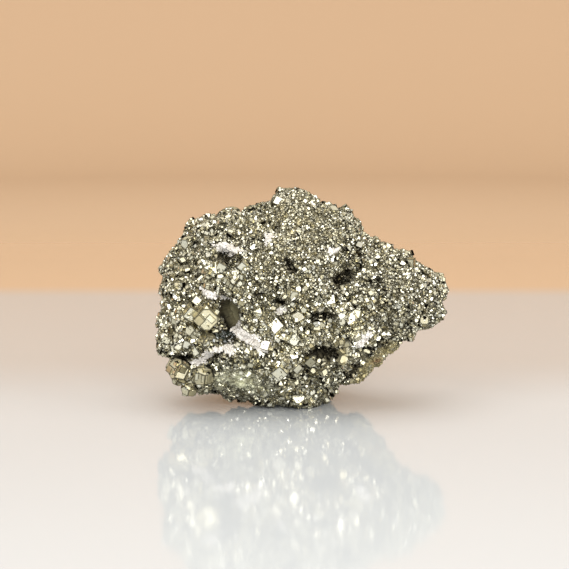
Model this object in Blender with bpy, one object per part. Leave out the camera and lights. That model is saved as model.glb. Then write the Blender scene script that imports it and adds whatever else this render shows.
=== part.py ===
"""Raw pyrite cluster: a hand-sized lump of pyrite crystals grown together, as one faceted solid.

The broad front face looks along -Y, X runs to its right and Z is up. The lump stands on a small flat
spot at Z 0. Lengths below are millimetres, and MM turns them into the scene's metres.
"""

import math

import bmesh
import bpy
import numpy as np
from mathutils import Matrix, Vector

MM = 0.001
NODE = "pyrite_cluster"

# The outline of the front face, as X and Z, anticlockwise from the tip of the right wing
FRONT_OUTLINE = (
    (32.0, 25.5), (31.0, 28.0), (28.8, 30.4), (24.3, 32.8), (20.7, 35.0), (16.8, 35.6),
    (15.2, 37.6), (11.2, 41.0), (10.2, 43.1), (8.3, 44.2), (4.2, 44.8), (0.4, 47.0),
    (-2.6, 48.4), (-5.8, 47.6), (-8.8, 45.0), (-13.8, 43.0), (-17.6, 42.4), (-21.6, 41.5),
    (-25.0, 41.0), (-26.0, 38.2), (-28.6, 34.2), (-31.2, 31.4), (-31.5, 27.7), (-30.8, 25.0),
    (-31.7, 20.0), (-32.0, 14.4), (-31.0, 12.2), (-29.0, 10.1), (-29.4, 6.6), (-27.2, 4.4),
    (-23.6, 3.0), (-17.6, 2.2), (-13.0, 1.6), (-8.6, 0.2), (-4.0, -1.2), (2.0, -1.2),
    (5.4, 0.8), (7.4, 4.4), (10.4, 5.6), (12.4, 7.4), (15.0, 9.8), (18.4, 12.2),
    (22.4, 14.8), (27.0, 17.0), (30.0, 19.2), (31.2, 22.4),
)
# Where the photograph was taken from. Places on the front are given as X and Z in the plane Y = 0,
# where a line of sight from here meets that plane
VIEW_FROM = (-4.3, -415.9, 85.5)
SIGHT_STEPS = 6

MIDDLE = (0.0, 0.0, 23.5)
# Half sizes of the egg that says which way is out
PROPORTIONS = (30.0, 19.0, 23.0)
# Places on a face stay inside this share of the outline
RIM_LIMIT = 0.995
FRONT_DEPTH = 18.0
BACK_DEPTH = 19.5
# Below 1, the faces are flatter and their edges fuller than an egg's
FACE_FULLNESS = 0.82
RIM_FULLNESS = 0.9
# Where along X the right wing starts to thin, where it ends, and its share of the depth there
WING = (4.0, 32.0, 0.5)
# The same along Z for the knob at the top and for the foot
KNOB = (30.0, 49.0, 0.62)
FOOT = (15.0, 0.0, 0.66)

# Broad swells: centre, how far each reaches, and the way it pushes the surface
SWELLS = (
    ((-27.0, -8.0, 18.0), 9.0, (-0.5, -3.4, 0.0)),
    ((-25.0, -9.0, 6.0), 6.0, (-0.4, -3.0, -0.3)),
    ((-6.0, -16.0, 5.0), 9.0, (0.0, -2.4, 0.0)),
    ((1.5, -18.0, 25.0), 6.0, (0.0, -2.0, 0.4)),
    ((22.0, -8.0, 27.0), 9.0, (0.6, -2.2, 0.0)),
    ((12.0, -14.0, 14.0), 7.0, (0.0, -1.6, 0.0)),
    ((13.5, 9.0, 7.0), 8.0, (2.8, 1.6, -3.6)),
    ((-22.0, 9.0, 39.0), 9.0, (-0.5, 2.4, 0.5)),
    ((-27.0, 10.0, 20.0), 9.0, (-0.3, 2.4, 0.0)),
    ((4.0, 17.0, 32.0), 10.0, (0.6, 2.6, 0.8)),
    ((6.0, 18.0, 12.0), 8.0, (0.0, 2.4, 0.0)),
    ((-10.0, 18.0, 22.0), 6.0, (0.0, -3.0, 0.0)),
    ((19.0, 10.0, 30.0), 7.0, (0.0, -2.2, 0.0)),
    ((9.5, -13.0, 32.0), 4.5, (0.0, 2.6, 0.0)),
)
# Rounded lumps all over: spacing, height, and a number that picks the pattern
LUMPS = ((9.0, 2.8, 11), (4.6, 1.5, 23))
# The broken faces of crystals on those lumps
FACETS = ((3.4, 1.5, 37), (1.9, 0.7, 41))
# The lumps stand this much of their height inside the outline, so that the size stays
LUMPS_INSIDE = 0.76

# Hollows between the crystals: name, X and Z on the face, how far its middle lies behind the face,
# half sizes, and its turn about Y in degrees
FRONT_HOLLOWS = (
    ("vug", -16.4, 20.3, 1.2, (2.3, 4.4, 4.3), -18.0),
    ("vug_notch", -17.9, 24.3, 1.4, (1.0, 4.0, 1.0), 0.0),
    ("vug_floor", -17.2, 15.2, 0.8, (2.7, 3.0, 1.7), 10.0),
    ("upper_left", -17.6, 33.4, 0.6, (1.9, 3.0, 1.7), 0.0),
    ("left_notch", -23.8, 29.0, 0.8, (1.0, 2.4, 1.4), 0.0),
    ("middle_slot", -3.0, 31.4, 0.8, (1.0, 3.2, 1.9), -35.0),
    ("middle_pit", -5.3, 22.9, 1.2, (1.4, 3.4, 1.1), 0.0),
    ("upper_slot", -10.6, 24.9, 0.4, (1.3, 2.2, 0.6), 0.0),
    ("groove", 8.6, 28.3, 0.6, (4.4, 3.6, 1.5), -24.0),
    ("wing_pit", 12.2, 34.2, 0.6, (0.9, 2.4, 1.5), -20.0),
    ("shelf_gap", 4.2, 19.4, 0.6, (2.8, 3.0, 1.2), -6.0),
    ("lower_cave", 4.8, 11.2, 0.8, (3.4, 3.8, 2.0), 10.0),
    ("foot_gap", -26.6, 10.6, 1.0, (2.9, 3.4, 1.0), -14.0),
    ("band_gap", -20.6, 10.8, 0.2, (4.2, 2.6, 1.2), -24.0),
    ("rim_slot_high", 15.6, 12.0, 0.8, (3.0, 3.2, 1.2), -44.0),
    ("rim_slot", 13.0, 9.4, 1.0, (2.8, 3.0, 1.1), -44.0),
    ("rim_slot_low", 10.6, 6.8, 0.8, (2.6, 2.6, 0.9), -44.0),
)
BACK_HOLLOWS = (
    ("back_vug", -11.0, 27.0, 1.5, (3.2, 5.4, 4.4), -20.0),
    ("back_cave", 11.0, 20.0, 1.2, (4.4, 4.6, 2.4), 18.0),
    ("back_notch", -22.0, 14.0, 1.0, (2.0, 3.6, 3.0), 0.0),
    ("back_slot", 2.0, 39.0, 0.8, (3.0, 3.4, 1.4), 12.0),
)

# Large crystals seen on the front face: X, Z, edge, shape, and turns about X, Y and Z in degrees
FRONT_CRYSTALS = (
    (-20.4, 29.8, 3.2, "octahedron", (10, 24, 38)),
    (-18.4, 31.0, 2.0, "cube", (20, 30, 10)),
    (-25.2, 20.6, 2.8, "cube", (18, 35, 20)),
    (-21.9, 19.6, 4.3, "blunt_cube", (12, 44, 10)),
    (-24.8, 16.4, 2.8, "pyritohedron", (10, 40, 5)),
    (-21.4, 15.0, 2.4, "cube", (40, 10, 30)),
    (-26.9, 7.8, 4.2, "pyritohedron", (14, 22, 34)),
    (-22.7, 6.5, 3.9, "pyritohedron", (24, 0, 16)),
    (-25.3, 3.8, 3.0, "pyritohedron", (38, 14, 0)),
    (-19.4, 3.4, 2.6, "pyritohedron", (0, 30, 40)),
    (-6.1, 16.9, 2.7, "cube", (-29, 38, -41)),
    (-8.6, 12.6, 2.0, "cube", (-23, 10, -26)),
    (-5.2, 7.4, 2.7, "cube", (30, 44, 12)),
    (-9.4, 6.8, 2.0, "octahedron", (12, 20, 8)),
    (-1.1, 19.1, 2.0, "cube", (-26, -30, 6)),
    (-2.8, 14.3, 2.4, "blunt_cube", (8, 34, 36)),
    (6.5, 23.2, 2.0, "cube", (-23, -14, -16)),
    (10.9, 19.0, 2.3, "cube", (-33, 45, -46)),
    (9.9, 21.9, 2.0, "octahedron", (24, 30, 0)),
    (15.4, 15.6, 2.0, "cube", (-26, 30, -30)),
    (8.6, 9.8, 2.0, "blunt_cube", (0, 26, 30)),
    (-13.4, 31.2, 1.9, "cube", (30, 40, 10)),
    (-2.6, 24.8, 1.9, "blunt_cube", (20, 6, 30)),
    (-10.4, 20.4, 2.2, "octahedron", (0, 16, 34)),
    (1.4, 8.6, 2.0, "cube", (26, 36, 26)),
)
# Further crystals over the whole lump: how many are tried, the least distance apart, and edges
SCATTER_TRIES = 900
SCATTER_APART = 11.2
SCATTER_EDGES = (1.8, 3.2)
SCATTER_SEED = 5
SCATTER_SHAPES = (("cube", 0.4), ("blunt_cube", 0.3), ("pyritohedron", 0.2), ("octahedron", 0.1))
# The least height of a scattered crystal's middle, as a share of its edge
SCATTER_LIFT = 0.9
# Places that are kept clear of scattered crystals
KEPT_CLEAR = ((17.0, 0.0, 10.0),)
# How deep a crystal's middle sits below the surface, as a share of its edge
SUNK = 0.12
# How much of its edge a blunted cube loses at each corner
BLUNTED = 0.2
# Half a pyritohedron's cube edge, and where its roof ends lie, for an edge of 1
PYRITOHEDRON = (0.42, 0.63, 0.315)

# A sphere of 2562 points carries the form, 1.8 mm apart on the finished lump
FORM_LEVELS = 5
HOLLOW_LEVELS = 2
# The least share of its half sizes that a hollow's wall has, and how much more it may have
HOLLOW_WALLS = (0.86, 0.3)
# How finely a direction is rounded before its wall's roughness is picked
HOLLOW_GRAIN = 40.0
FLOOR_CUTTER = (90.0, 90.0, 12.0)

PYRITE_COLOUR = (0.52, 0.47, 0.33, 1.0)
PYRITE_ROUGHNESS = 0.32


def smooth_step(value, start, end):
    """0 before start and 1 past end, with a soft S between them."""
    t = np.clip((value - start) / (end - start), 0.0, 1.0)
    return t * t * (3.0 - 2.0 * t)


def cell_random(cells, salt):
    """One number from 0 to 1 for each whole-number cell, the same on every run."""
    cells = cells.astype(np.int64)
    mixed = cells[..., 0] * 73856093 ^ cells[..., 1] * 19349663 ^ cells[..., 2] * 83492791
    mixed = (mixed ^ salt * 2654435761) & 0xFFFFFFFF
    mixed = ((mixed ^ (mixed >> 13)) * 1274126177) & 0xFFFFFFFF
    mixed = ((mixed ^ (mixed >> 16)) * 2246822519) & 0xFFFFFFFF
    return ((mixed ^ (mixed >> 15)) & 0xFFFFFF) / float(0x1000000)


def rounded_lumps(points, spacing, salt):
    """Domes round scattered seeds, one seed in each cubic cell: 1 on a seed, 0 a cell away."""
    cells = np.floor(points / spacing)
    nearest = np.full(len(points), 9.0)
    for offset in np.ndindex(3, 3, 3):
        cell = cells + np.array(offset) - 1.0
        jitter = np.stack([cell_random(cell, salt + axis) for axis in range(3)], axis=1)
        gap = np.linalg.norm((cell + jitter) * spacing - points, axis=1) / spacing
        nearest = np.minimum(nearest, gap)
    return 1.0 - np.clip(nearest, 0.0, 1.0) ** 2


def broken_faces(points, spacing, salt):
    """Flat faces that tilt at random, one round each seed, with steps between them: 0 to 1."""
    cells = np.floor(points / spacing)
    nearest = np.full(len(points), 9.0)
    height = np.zeros(len(points))
    for offset in np.ndindex(3, 3, 3):
        cell = cells + np.array(offset) - 1.0
        jitter = np.stack([cell_random(cell, salt + axis) for axis in range(3)], axis=1)
        tilt = np.stack([cell_random(cell, salt + 5 + axis) for axis in range(3)], axis=1) * 2.0 - 1.0
        away = points / spacing - (cell + jitter)
        gap = np.linalg.norm(away, axis=1)
        here = gap < nearest
        nearest = np.where(here, gap, nearest)
        height = np.where(here, np.clip(0.5 + (away * tilt).sum(axis=1), 0.0, 1.0), height)
    return height


def outline_reach(angles):
    """How far the front outline lies from the middle, at each angle in the XZ plane."""
    corners = np.array(FRONT_OUTLINE) - np.array([MIDDLE[0], MIDDLE[2]])
    corner_angles = np.arctan2(corners[:, 1], corners[:, 0])
    return np.interp(angles, corner_angles, np.hypot(corners[:, 0], corners[:, 1]), period=math.tau)


def depth_share(x, z):
    """The share of the full depth that the lump has at X and Z: less on the wing, knob and foot."""
    share = np.ones_like(x)
    for value, (start, end, least) in ((x, WING), (z, KNOB), (z, FOOT)):
        share = share * (1.0 - (1.0 - least) * smooth_step(value, start, end))
    return share


def plain_form(directions):
    """The smooth lump: the outline's reach at the rim, bulging along Y to the front and back."""
    angles = np.arctan2(directions[:, 2], directions[:, 0])
    rim = np.hypot(directions[:, 0], directions[:, 2])
    reach = outline_reach(angles) * rim**RIM_FULLNESS
    x = MIDDLE[0] + reach * np.cos(angles)
    z = MIDDLE[2] + reach * np.sin(angles)
    along = np.sign(directions[:, 1]) * np.abs(directions[:, 1]) ** FACE_FULLNESS
    depth = np.where(directions[:, 1] < 0.0, FRONT_DEPTH, BACK_DEPTH)
    return np.stack([x, MIDDLE[1] + along * depth * depth_share(x, z), z], axis=1)


def outward(points):
    """The way out of the lump at each point, as on an egg of the lump's own proportions."""
    from_middle = points - np.array(MIDDLE)
    steep = from_middle / np.array(PROPORTIONS) ** 2
    return steep / np.linalg.norm(steep, axis=1, keepdims=True)


def rough_form(directions):
    """Points of the lump's surface and the way out of it, for directions from the middle."""
    points = plain_form(directions)
    way = outward(points)
    swollen = points.copy()
    for centre, reach, push in SWELLS:
        near = np.exp(-(((points - np.array(centre)) / reach) ** 2).sum(axis=1))
        swollen += near[:, None] * np.array(push)
    height = np.zeros(len(points))
    for spacing, tall, salt in LUMPS:
        height += tall * (rounded_lumps(points, spacing, salt) - LUMPS_INSIDE)
    return swollen + way * height[:, None], way


def face_directions(x, z, side):
    """Directions from the middle to the face at X and Z: side -1 is the front and 1 the back."""
    x = np.asarray(x, float) - MIDDLE[0]
    z = np.asarray(z, float) - MIDDLE[2]
    angles = np.arctan2(z, x)
    rim = np.minimum(np.hypot(x, z) / outline_reach(angles), RIM_LIMIT) ** (1.0 / RIM_FULLNESS)
    return np.stack([rim * np.cos(angles), side * np.sqrt(1.0 - rim**2), rim * np.sin(angles)], axis=1)


def seen_place(x, z):
    """X and Z of the front face where the line of sight through (x, 0, z) meets it, found by stepping
    along that line to the face's own depth a few times."""
    eye = np.array(VIEW_FROM)
    sight = np.array([x, 0.0, z]) - eye
    spot = eye + sight
    for _ in range(SIGHT_STEPS):
        depth = rough_form(face_directions([spot[0]], [spot[2]], -1.0))[0][0, 1]
        spot = eye + sight * (depth - eye[1]) / sight[1]
    return spot[0], spot[2]


def convex_body(bm, corners):
    """Adds the convex body of these corners to bm."""
    made = [bm.verts.new(corner) for corner in corners]
    hull = bmesh.ops.convex_hull(bm, input=made)
    spare = {v for v in hull["geom_interior"] + hull["geom_unused"] if isinstance(v, bmesh.types.BMVert)}
    bmesh.ops.delete(bm, geom=list(spare), context="VERTS")


def signs(x, y, z):
    """The points whose coordinates are x, y and z with either sign, each point once."""
    return sorted({(x * a, y * b, z * c) for a in (-1, 1) for b in (-1, 1) for c in (-1, 1)})


def crystal_corners(shape):
    """The corners of a pyrite crystal of edge 1: a cube, a blunted cube, or one of its other forms."""
    if shape == "cube":
        return signs(0.5, 0.5, 0.5)
    if shape == "blunt_cube":
        cut = 0.5 - BLUNTED
        return signs(cut, 0.5, 0.5) + signs(0.5, cut, 0.5) + signs(0.5, 0.5, cut)
    if shape == "octahedron":
        return signs(0.75, 0.0, 0.0) + signs(0.0, 0.75, 0.0) + signs(0.0, 0.0, 0.75)
    # The pyritohedron's twelve pentagons meet at a cube's corners and at twelve roof ends
    side, roof, eave = PYRITOHEDRON
    return (signs(side, side, side) + signs(0.0, roof, eave)
            + signs(roof, eave, 0.0) + signs(eave, 0.0, roof))


def turned(degrees_xyz):
    """The rotation that turns by these degrees about X, then Y, then Z."""
    x, y, z = (math.radians(angle) for angle in degrees_xyz)
    return Matrix.Rotation(z, 3, "Z") @ Matrix.Rotation(y, 3, "Y") @ Matrix.Rotation(x, 3, "X")


def mesh_object(name, bm):
    """An object from bm, which is freed. Its lengths are turned from millimetres into metres."""
    bmesh.ops.scale(bm, vec=(MM, MM, MM), verts=bm.verts)
    bmesh.ops.recalc_face_normals(bm, faces=bm.faces)
    mesh = bpy.data.meshes.new(name)
    bm.to_mesh(mesh)
    bm.free()
    made = bpy.data.objects.new(name, mesh)
    bpy.context.scene.collection.objects.link(made)
    return made


def helper(made):
    """Marks an object as one that only cuts or joins."""
    made.hide_render = True
    made.display_type = "WIRE"
    return made


def make_mass():
    """The lump itself: a sphere of triangles set on the rough form."""
    bm = bmesh.new()
    bmesh.ops.create_icosphere(bm, subdivisions=FORM_LEVELS, radius=1.0)
    directions = np.array([v.co.normalized() for v in bm.verts])
    points, way = rough_form(directions)
    for spacing, tall, salt in FACETS:
        points += way * (tall * (broken_faces(points, spacing, salt) - 0.5))[:, None]
    for vertex, point in zip(bm.verts, points):
        vertex.co = point
    return mesh_object(NODE, bm)


def hollow_places():
    """Centre, half sizes and turn of each hollow, set in from the face that it opens on."""
    for hollows, side in ((FRONT_HOLLOWS, -1.0), (BACK_HOLLOWS, 1.0)):
        for name, x, z, depth, half, turn in hollows:
            if side < 0.0:
                x, z = seen_place(x, z)
            mouth = rough_form(face_directions([x], [z], side))[0][0]
            yield name, mouth - np.array([0.0, side * depth, 0.0]), half, turn


def make_hollow_cutters():
    """One closed egg for each hollow, roughened so that its walls are not smooth."""
    for name, centre, half, turn in hollow_places():
        bm = bmesh.new()
        bmesh.ops.create_icosphere(bm, subdivisions=HOLLOW_LEVELS, radius=1.0)
        unit = np.array([v.co.normalized() for v in bm.verts])
        least, more = HOLLOW_WALLS
        rough = least + more * cell_random(np.round(unit * HOLLOW_GRAIN), len(name))
        spin = turned((0.0, turn, 0.0))
        for vertex, swell in zip(bm.verts, rough):
            egg = Vector(half) * vertex.co.normalized() * swell
            vertex.co = spin @ egg + Vector(centre)
        yield helper(mesh_object(f"{name}_cutter", bm))


def far_from(points, kept, apart):
    """Whether each point lies at least apart from every kept one."""
    if not len(kept):
        return np.ones(len(points), bool)
    gaps = np.linalg.norm(points[:, None, :] - np.array(kept)[None, :, :], axis=2)
    return (gaps >= apart).all(axis=1)


def crystal_places():
    """Centre, edge, shape and rotation of each fused crystal, the large front ones first."""
    kept = []
    for seen_x, seen_z, edge, shape, turns in FRONT_CRYSTALS:
        x, z = seen_place(seen_x, seen_z)
        points, way = rough_form(face_directions([x], [z], -1.0))
        kept.append(points[0])
        yield points[0] - way[0] * edge * SUNK, edge, shape, turned(turns)
    random = np.random.default_rng(SCATTER_SEED)
    directions = random.normal(size=(SCATTER_TRIES, 3))
    directions /= np.linalg.norm(directions, axis=1, keepdims=True)
    points, way = rough_form(directions)
    edges = random.uniform(*SCATTER_EDGES, SCATTER_TRIES)
    turns = random.uniform(0.0, 360.0, (SCATTER_TRIES, 3))
    names, chances = zip(*SCATTER_SHAPES)
    shapes = random.choice(names, SCATTER_TRIES, p=chances)
    hollows = [centre for _, centre, _, _ in hollow_places()]
    free = far_from(points, [*hollows, *KEPT_CLEAR], SCATTER_APART) & (points[:, 2] > edges * SCATTER_LIFT)
    for place in np.flatnonzero(free):
        if far_from(points[place][None, :], kept, SCATTER_APART)[0]:
            kept.append(points[place])
            centre = points[place] - way[place] * edges[place] * SUNK
            yield centre, edges[place], shapes[place], turned(turns[place])


def make_crystals():
    """All fused crystals as one helper, each a closed body of its own."""
    bm = bmesh.new()
    for centre, edge, shape, rotation in crystal_places():
        one = bmesh.new()
        corners = [rotation @ (Vector(corner) * edge) for corner in crystal_corners(shape)]
        convex_body(one, [corner + Vector(centre) for corner in corners])
        bmesh.ops.recalc_face_normals(one, faces=one.faces)
        spare = bpy.data.meshes.new("crystal")
        one.to_mesh(spare)
        one.free()
        bm.from_mesh(spare)
        bpy.data.meshes.remove(spare)
    return helper(mesh_object("crystals", bm))


def make_floor_cutter():
    """The block under the lump that leaves the flat spot it rests on."""
    bm = bmesh.new()
    bmesh.ops.create_cube(bm, size=1.0)
    bmesh.ops.scale(bm, vec=FLOOR_CUTTER, verts=bm.verts)
    bmesh.ops.translate(bm, vec=(0.0, 0.0, -FLOOR_CUTTER[2] / 2.0), verts=bm.verts)
    return helper(mesh_object("floor_cutter", bm))


def combine(target, operand, operation, self_crossing=False):
    """A Boolean of operand on target, kept live as a modifier."""
    modifier = target.modifiers.new(f"{operation.lower()}_{operand.name}", "BOOLEAN")
    modifier.operation = operation
    modifier.solver = "EXACT"
    modifier.use_self = self_crossing
    modifier.object = operand
    return modifier


def pyrite_material():
    """Pale brassy metal, a little dull between the bright faces."""
    material = bpy.data.materials.new("pyrite")
    material.use_nodes = True
    shader = material.node_tree.nodes["Principled BSDF"]
    shader.inputs["Base Color"].default_value = PYRITE_COLOUR
    shader.inputs["Metallic"].default_value = 1.0
    shader.inputs["Roughness"].default_value = PYRITE_ROUGHNESS
    return material


def main():
    for spare in list(bpy.data.objects):
        bpy.data.objects.remove(spare)
    mass = make_mass()
    for cutter in make_hollow_cutters():
        combine(mass, cutter, "DIFFERENCE")
    combine(mass, make_crystals(), "UNION", self_crossing=True)
    combine(mass, make_floor_cutter(), "DIFFERENCE")
    mass.data.materials.append(pyrite_material())


main()
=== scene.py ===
"""The looks of a raw pyrite cluster: its rough mass, thousands of crystals, white quartz and a stage.

X runs to the right of the broad front face, which looks along -Y, and Z is up. Shapes are worked out in
millimetres, and MM turns them into the scene's metres. Properties are in the scene's own units.
"""

import math
from typing import NamedTuple

import bmesh
import bpy
import numpy as np
from mathutils import Matrix, Vector


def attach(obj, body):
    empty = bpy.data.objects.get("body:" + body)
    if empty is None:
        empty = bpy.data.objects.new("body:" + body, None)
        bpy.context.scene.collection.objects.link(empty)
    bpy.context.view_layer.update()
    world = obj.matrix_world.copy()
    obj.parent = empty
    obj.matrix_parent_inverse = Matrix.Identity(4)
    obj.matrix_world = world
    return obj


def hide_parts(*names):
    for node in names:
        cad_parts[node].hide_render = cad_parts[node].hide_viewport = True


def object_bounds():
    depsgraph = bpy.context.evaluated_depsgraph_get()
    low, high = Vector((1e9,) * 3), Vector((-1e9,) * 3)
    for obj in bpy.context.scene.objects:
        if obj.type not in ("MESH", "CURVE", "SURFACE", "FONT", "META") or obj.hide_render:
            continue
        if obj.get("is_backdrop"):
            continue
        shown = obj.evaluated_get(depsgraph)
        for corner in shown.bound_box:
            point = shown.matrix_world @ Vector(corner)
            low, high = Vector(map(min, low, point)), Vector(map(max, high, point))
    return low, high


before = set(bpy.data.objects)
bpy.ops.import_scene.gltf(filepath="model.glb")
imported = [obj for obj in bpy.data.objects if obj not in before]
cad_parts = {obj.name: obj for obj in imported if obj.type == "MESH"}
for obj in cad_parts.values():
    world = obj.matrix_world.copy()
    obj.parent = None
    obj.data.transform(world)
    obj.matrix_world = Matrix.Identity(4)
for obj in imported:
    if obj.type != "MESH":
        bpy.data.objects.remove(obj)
SOLID_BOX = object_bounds()

bl_info = {
    "name": "Raw pyrite cluster",
    "version": (1, 0, 0),
    "blender": (4, 5, 0),
    "location": "3D View > Sidebar > Pyrite",
    "description": "Dresses a lump of pyrite with its grains, crystals, white quartz and stage",
    "category": "Add Mesh",
}

MM = 0.001
BODY = "root"
SOLID = "pyrite_cluster"

# The form of the lump. These are the solid's own values, so that the crystals sit on it

# The outline of the front face, as X and Z, anticlockwise from the tip of the right wing
FRONT_OUTLINE = (
    (32.0, 25.5), (31.0, 28.0), (28.8, 30.4), (24.3, 32.8), (20.7, 35.0), (16.8, 35.6),
    (15.2, 37.6), (11.2, 41.0), (10.2, 43.1), (8.3, 44.2), (4.2, 44.8), (0.4, 47.0),
    (-2.6, 48.4), (-5.8, 47.6), (-8.8, 45.0), (-13.8, 43.0), (-17.6, 42.4), (-21.6, 41.5),
    (-25.0, 41.0), (-26.0, 38.2), (-28.6, 34.2), (-31.2, 31.4), (-31.5, 27.7), (-30.8, 25.0),
    (-31.7, 20.0), (-32.0, 14.4), (-31.0, 12.2), (-29.0, 10.1), (-29.4, 6.6), (-27.2, 4.4),
    (-23.6, 3.0), (-17.6, 2.2), (-13.0, 1.6), (-8.6, 0.2), (-4.0, -1.2), (2.0, -1.2),
    (5.4, 0.8), (7.4, 4.4), (10.4, 5.6), (12.4, 7.4), (15.0, 9.8), (18.4, 12.2),
    (22.4, 14.8), (27.0, 17.0), (30.0, 19.2), (31.2, 22.4),
)
# Where the photograph was taken from. Places on the front are given as X and Z in the plane Y = 0,
# where a line of sight from here meets that plane
VIEW_FROM = (-4.3, -415.9, 85.5)
SIGHT_STEPS = 6

# The lump's middle, and the half sizes of the egg that tells which way is out
MIDDLE = (0.0, 0.0, 23.5)
PROPORTIONS = (30.0, 19.0, 23.0)
# How near to the rim a place on a face can be, as a share of the way there
RIM_LIMIT = 0.995
# How far the front and the back bulge
FRONT_DEPTH = 18.0
BACK_DEPTH = 19.5
# Below 1, the faces are flatter and their edges fuller than an egg's
FACE_FULLNESS = 0.82
RIM_FULLNESS = 0.9
# Where along X the right wing starts to thin, where it ends, and its share of the depth there
WING = (4.0, 32.0, 0.5)
# The same along Z for the knob at the top and for the foot
KNOB = (30.0, 49.0, 0.62)
FOOT = (15.0, 0.0, 0.66)

# Broad swells: centre, how far each reaches, and the way it pushes the surface
SWELLS = (
    ((-27.0, -8.0, 18.0), 9.0, (-0.5, -3.4, 0.0)),
    ((-25.0, -9.0, 6.0), 6.0, (-0.4, -3.0, -0.3)),
    ((-6.0, -16.0, 5.0), 9.0, (0.0, -2.4, 0.0)),
    ((1.5, -18.0, 25.0), 6.0, (0.0, -2.0, 0.4)),
    ((22.0, -8.0, 27.0), 9.0, (0.6, -2.2, 0.0)),
    ((12.0, -14.0, 14.0), 7.0, (0.0, -1.6, 0.0)),
    ((13.5, 9.0, 7.0), 8.0, (2.8, 1.6, -3.6)),
    ((-22.0, 9.0, 39.0), 9.0, (-0.5, 2.4, 0.5)),
    ((-27.0, 10.0, 20.0), 9.0, (-0.3, 2.4, 0.0)),
    ((4.0, 17.0, 32.0), 10.0, (0.6, 2.6, 0.8)),
    ((6.0, 18.0, 12.0), 8.0, (0.0, 2.4, 0.0)),
    ((-10.0, 18.0, 22.0), 6.0, (0.0, -3.0, 0.0)),
    ((19.0, 10.0, 30.0), 7.0, (0.0, -2.2, 0.0)),
    ((9.5, -13.0, 32.0), 4.5, (0.0, 2.6, 0.0)),
)
# Rounded lumps and broken faces all over: spacing, height, and a number that picks the pattern
LUMPS = ((9.0, 2.8, 11), (4.6, 1.5, 23))
FACETS = ((3.4, 1.5, 37), (1.9, 0.7, 41))
# The share of a lump's height that lies inside the plain form
LUMPS_INSIDE = 0.76

# Hollows: name, X and Z on the face, depth of its middle, half sizes, and its turn about Y in degrees
FRONT_HOLLOWS = (
    ("vug", -16.4, 20.3, 1.2, (2.3, 4.4, 4.3), -18.0),
    ("vug_notch", -17.9, 24.3, 1.4, (1.0, 4.0, 1.0), 0.0),
    ("vug_floor", -17.2, 15.2, 0.8, (2.7, 3.0, 1.7), 10.0),
    ("upper_left", -17.6, 33.4, 0.6, (1.9, 3.0, 1.7), 0.0),
    ("left_notch", -23.8, 29.0, 0.8, (1.0, 2.4, 1.4), 0.0),
    ("middle_slot", -3.0, 31.4, 0.8, (1.0, 3.2, 1.9), -35.0),
    ("middle_pit", -5.3, 22.9, 1.2, (1.4, 3.4, 1.1), 0.0),
    ("upper_slot", -10.6, 24.9, 0.4, (1.3, 2.2, 0.6), 0.0),
    ("groove", 8.6, 28.3, 0.6, (4.4, 3.6, 1.5), -24.0),
    ("wing_pit", 12.2, 34.2, 0.6, (0.9, 2.4, 1.5), -20.0),
    ("shelf_gap", 4.2, 19.4, 0.6, (2.8, 3.0, 1.2), -6.0),
    ("lower_cave", 4.8, 11.2, 0.8, (3.4, 3.8, 2.0), 10.0),
    ("foot_gap", -26.6, 10.6, 1.0, (2.9, 3.4, 1.0), -14.0),
    ("band_gap", -20.6, 10.8, 0.2, (4.2, 2.6, 1.2), -24.0),
    ("rim_slot_high", 15.6, 12.0, 0.8, (3.0, 3.2, 1.2), -44.0),
    ("rim_slot", 13.0, 9.4, 1.0, (2.8, 3.0, 1.1), -44.0),
    ("rim_slot_low", 10.6, 6.8, 0.8, (2.6, 2.6, 0.9), -44.0),
)
BACK_HOLLOWS = (
    ("back_vug", -11.0, 27.0, 1.5, (3.2, 5.4, 4.4), -20.0),
    ("back_cave", 11.0, 20.0, 1.2, (4.4, 4.6, 2.4), 18.0),
    ("back_notch", -22.0, 14.0, 1.0, (2.0, 3.6, 3.0), 0.0),
    ("back_slot", 2.0, 39.0, 0.8, (3.0, 3.4, 1.4), 12.0),
)

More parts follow.
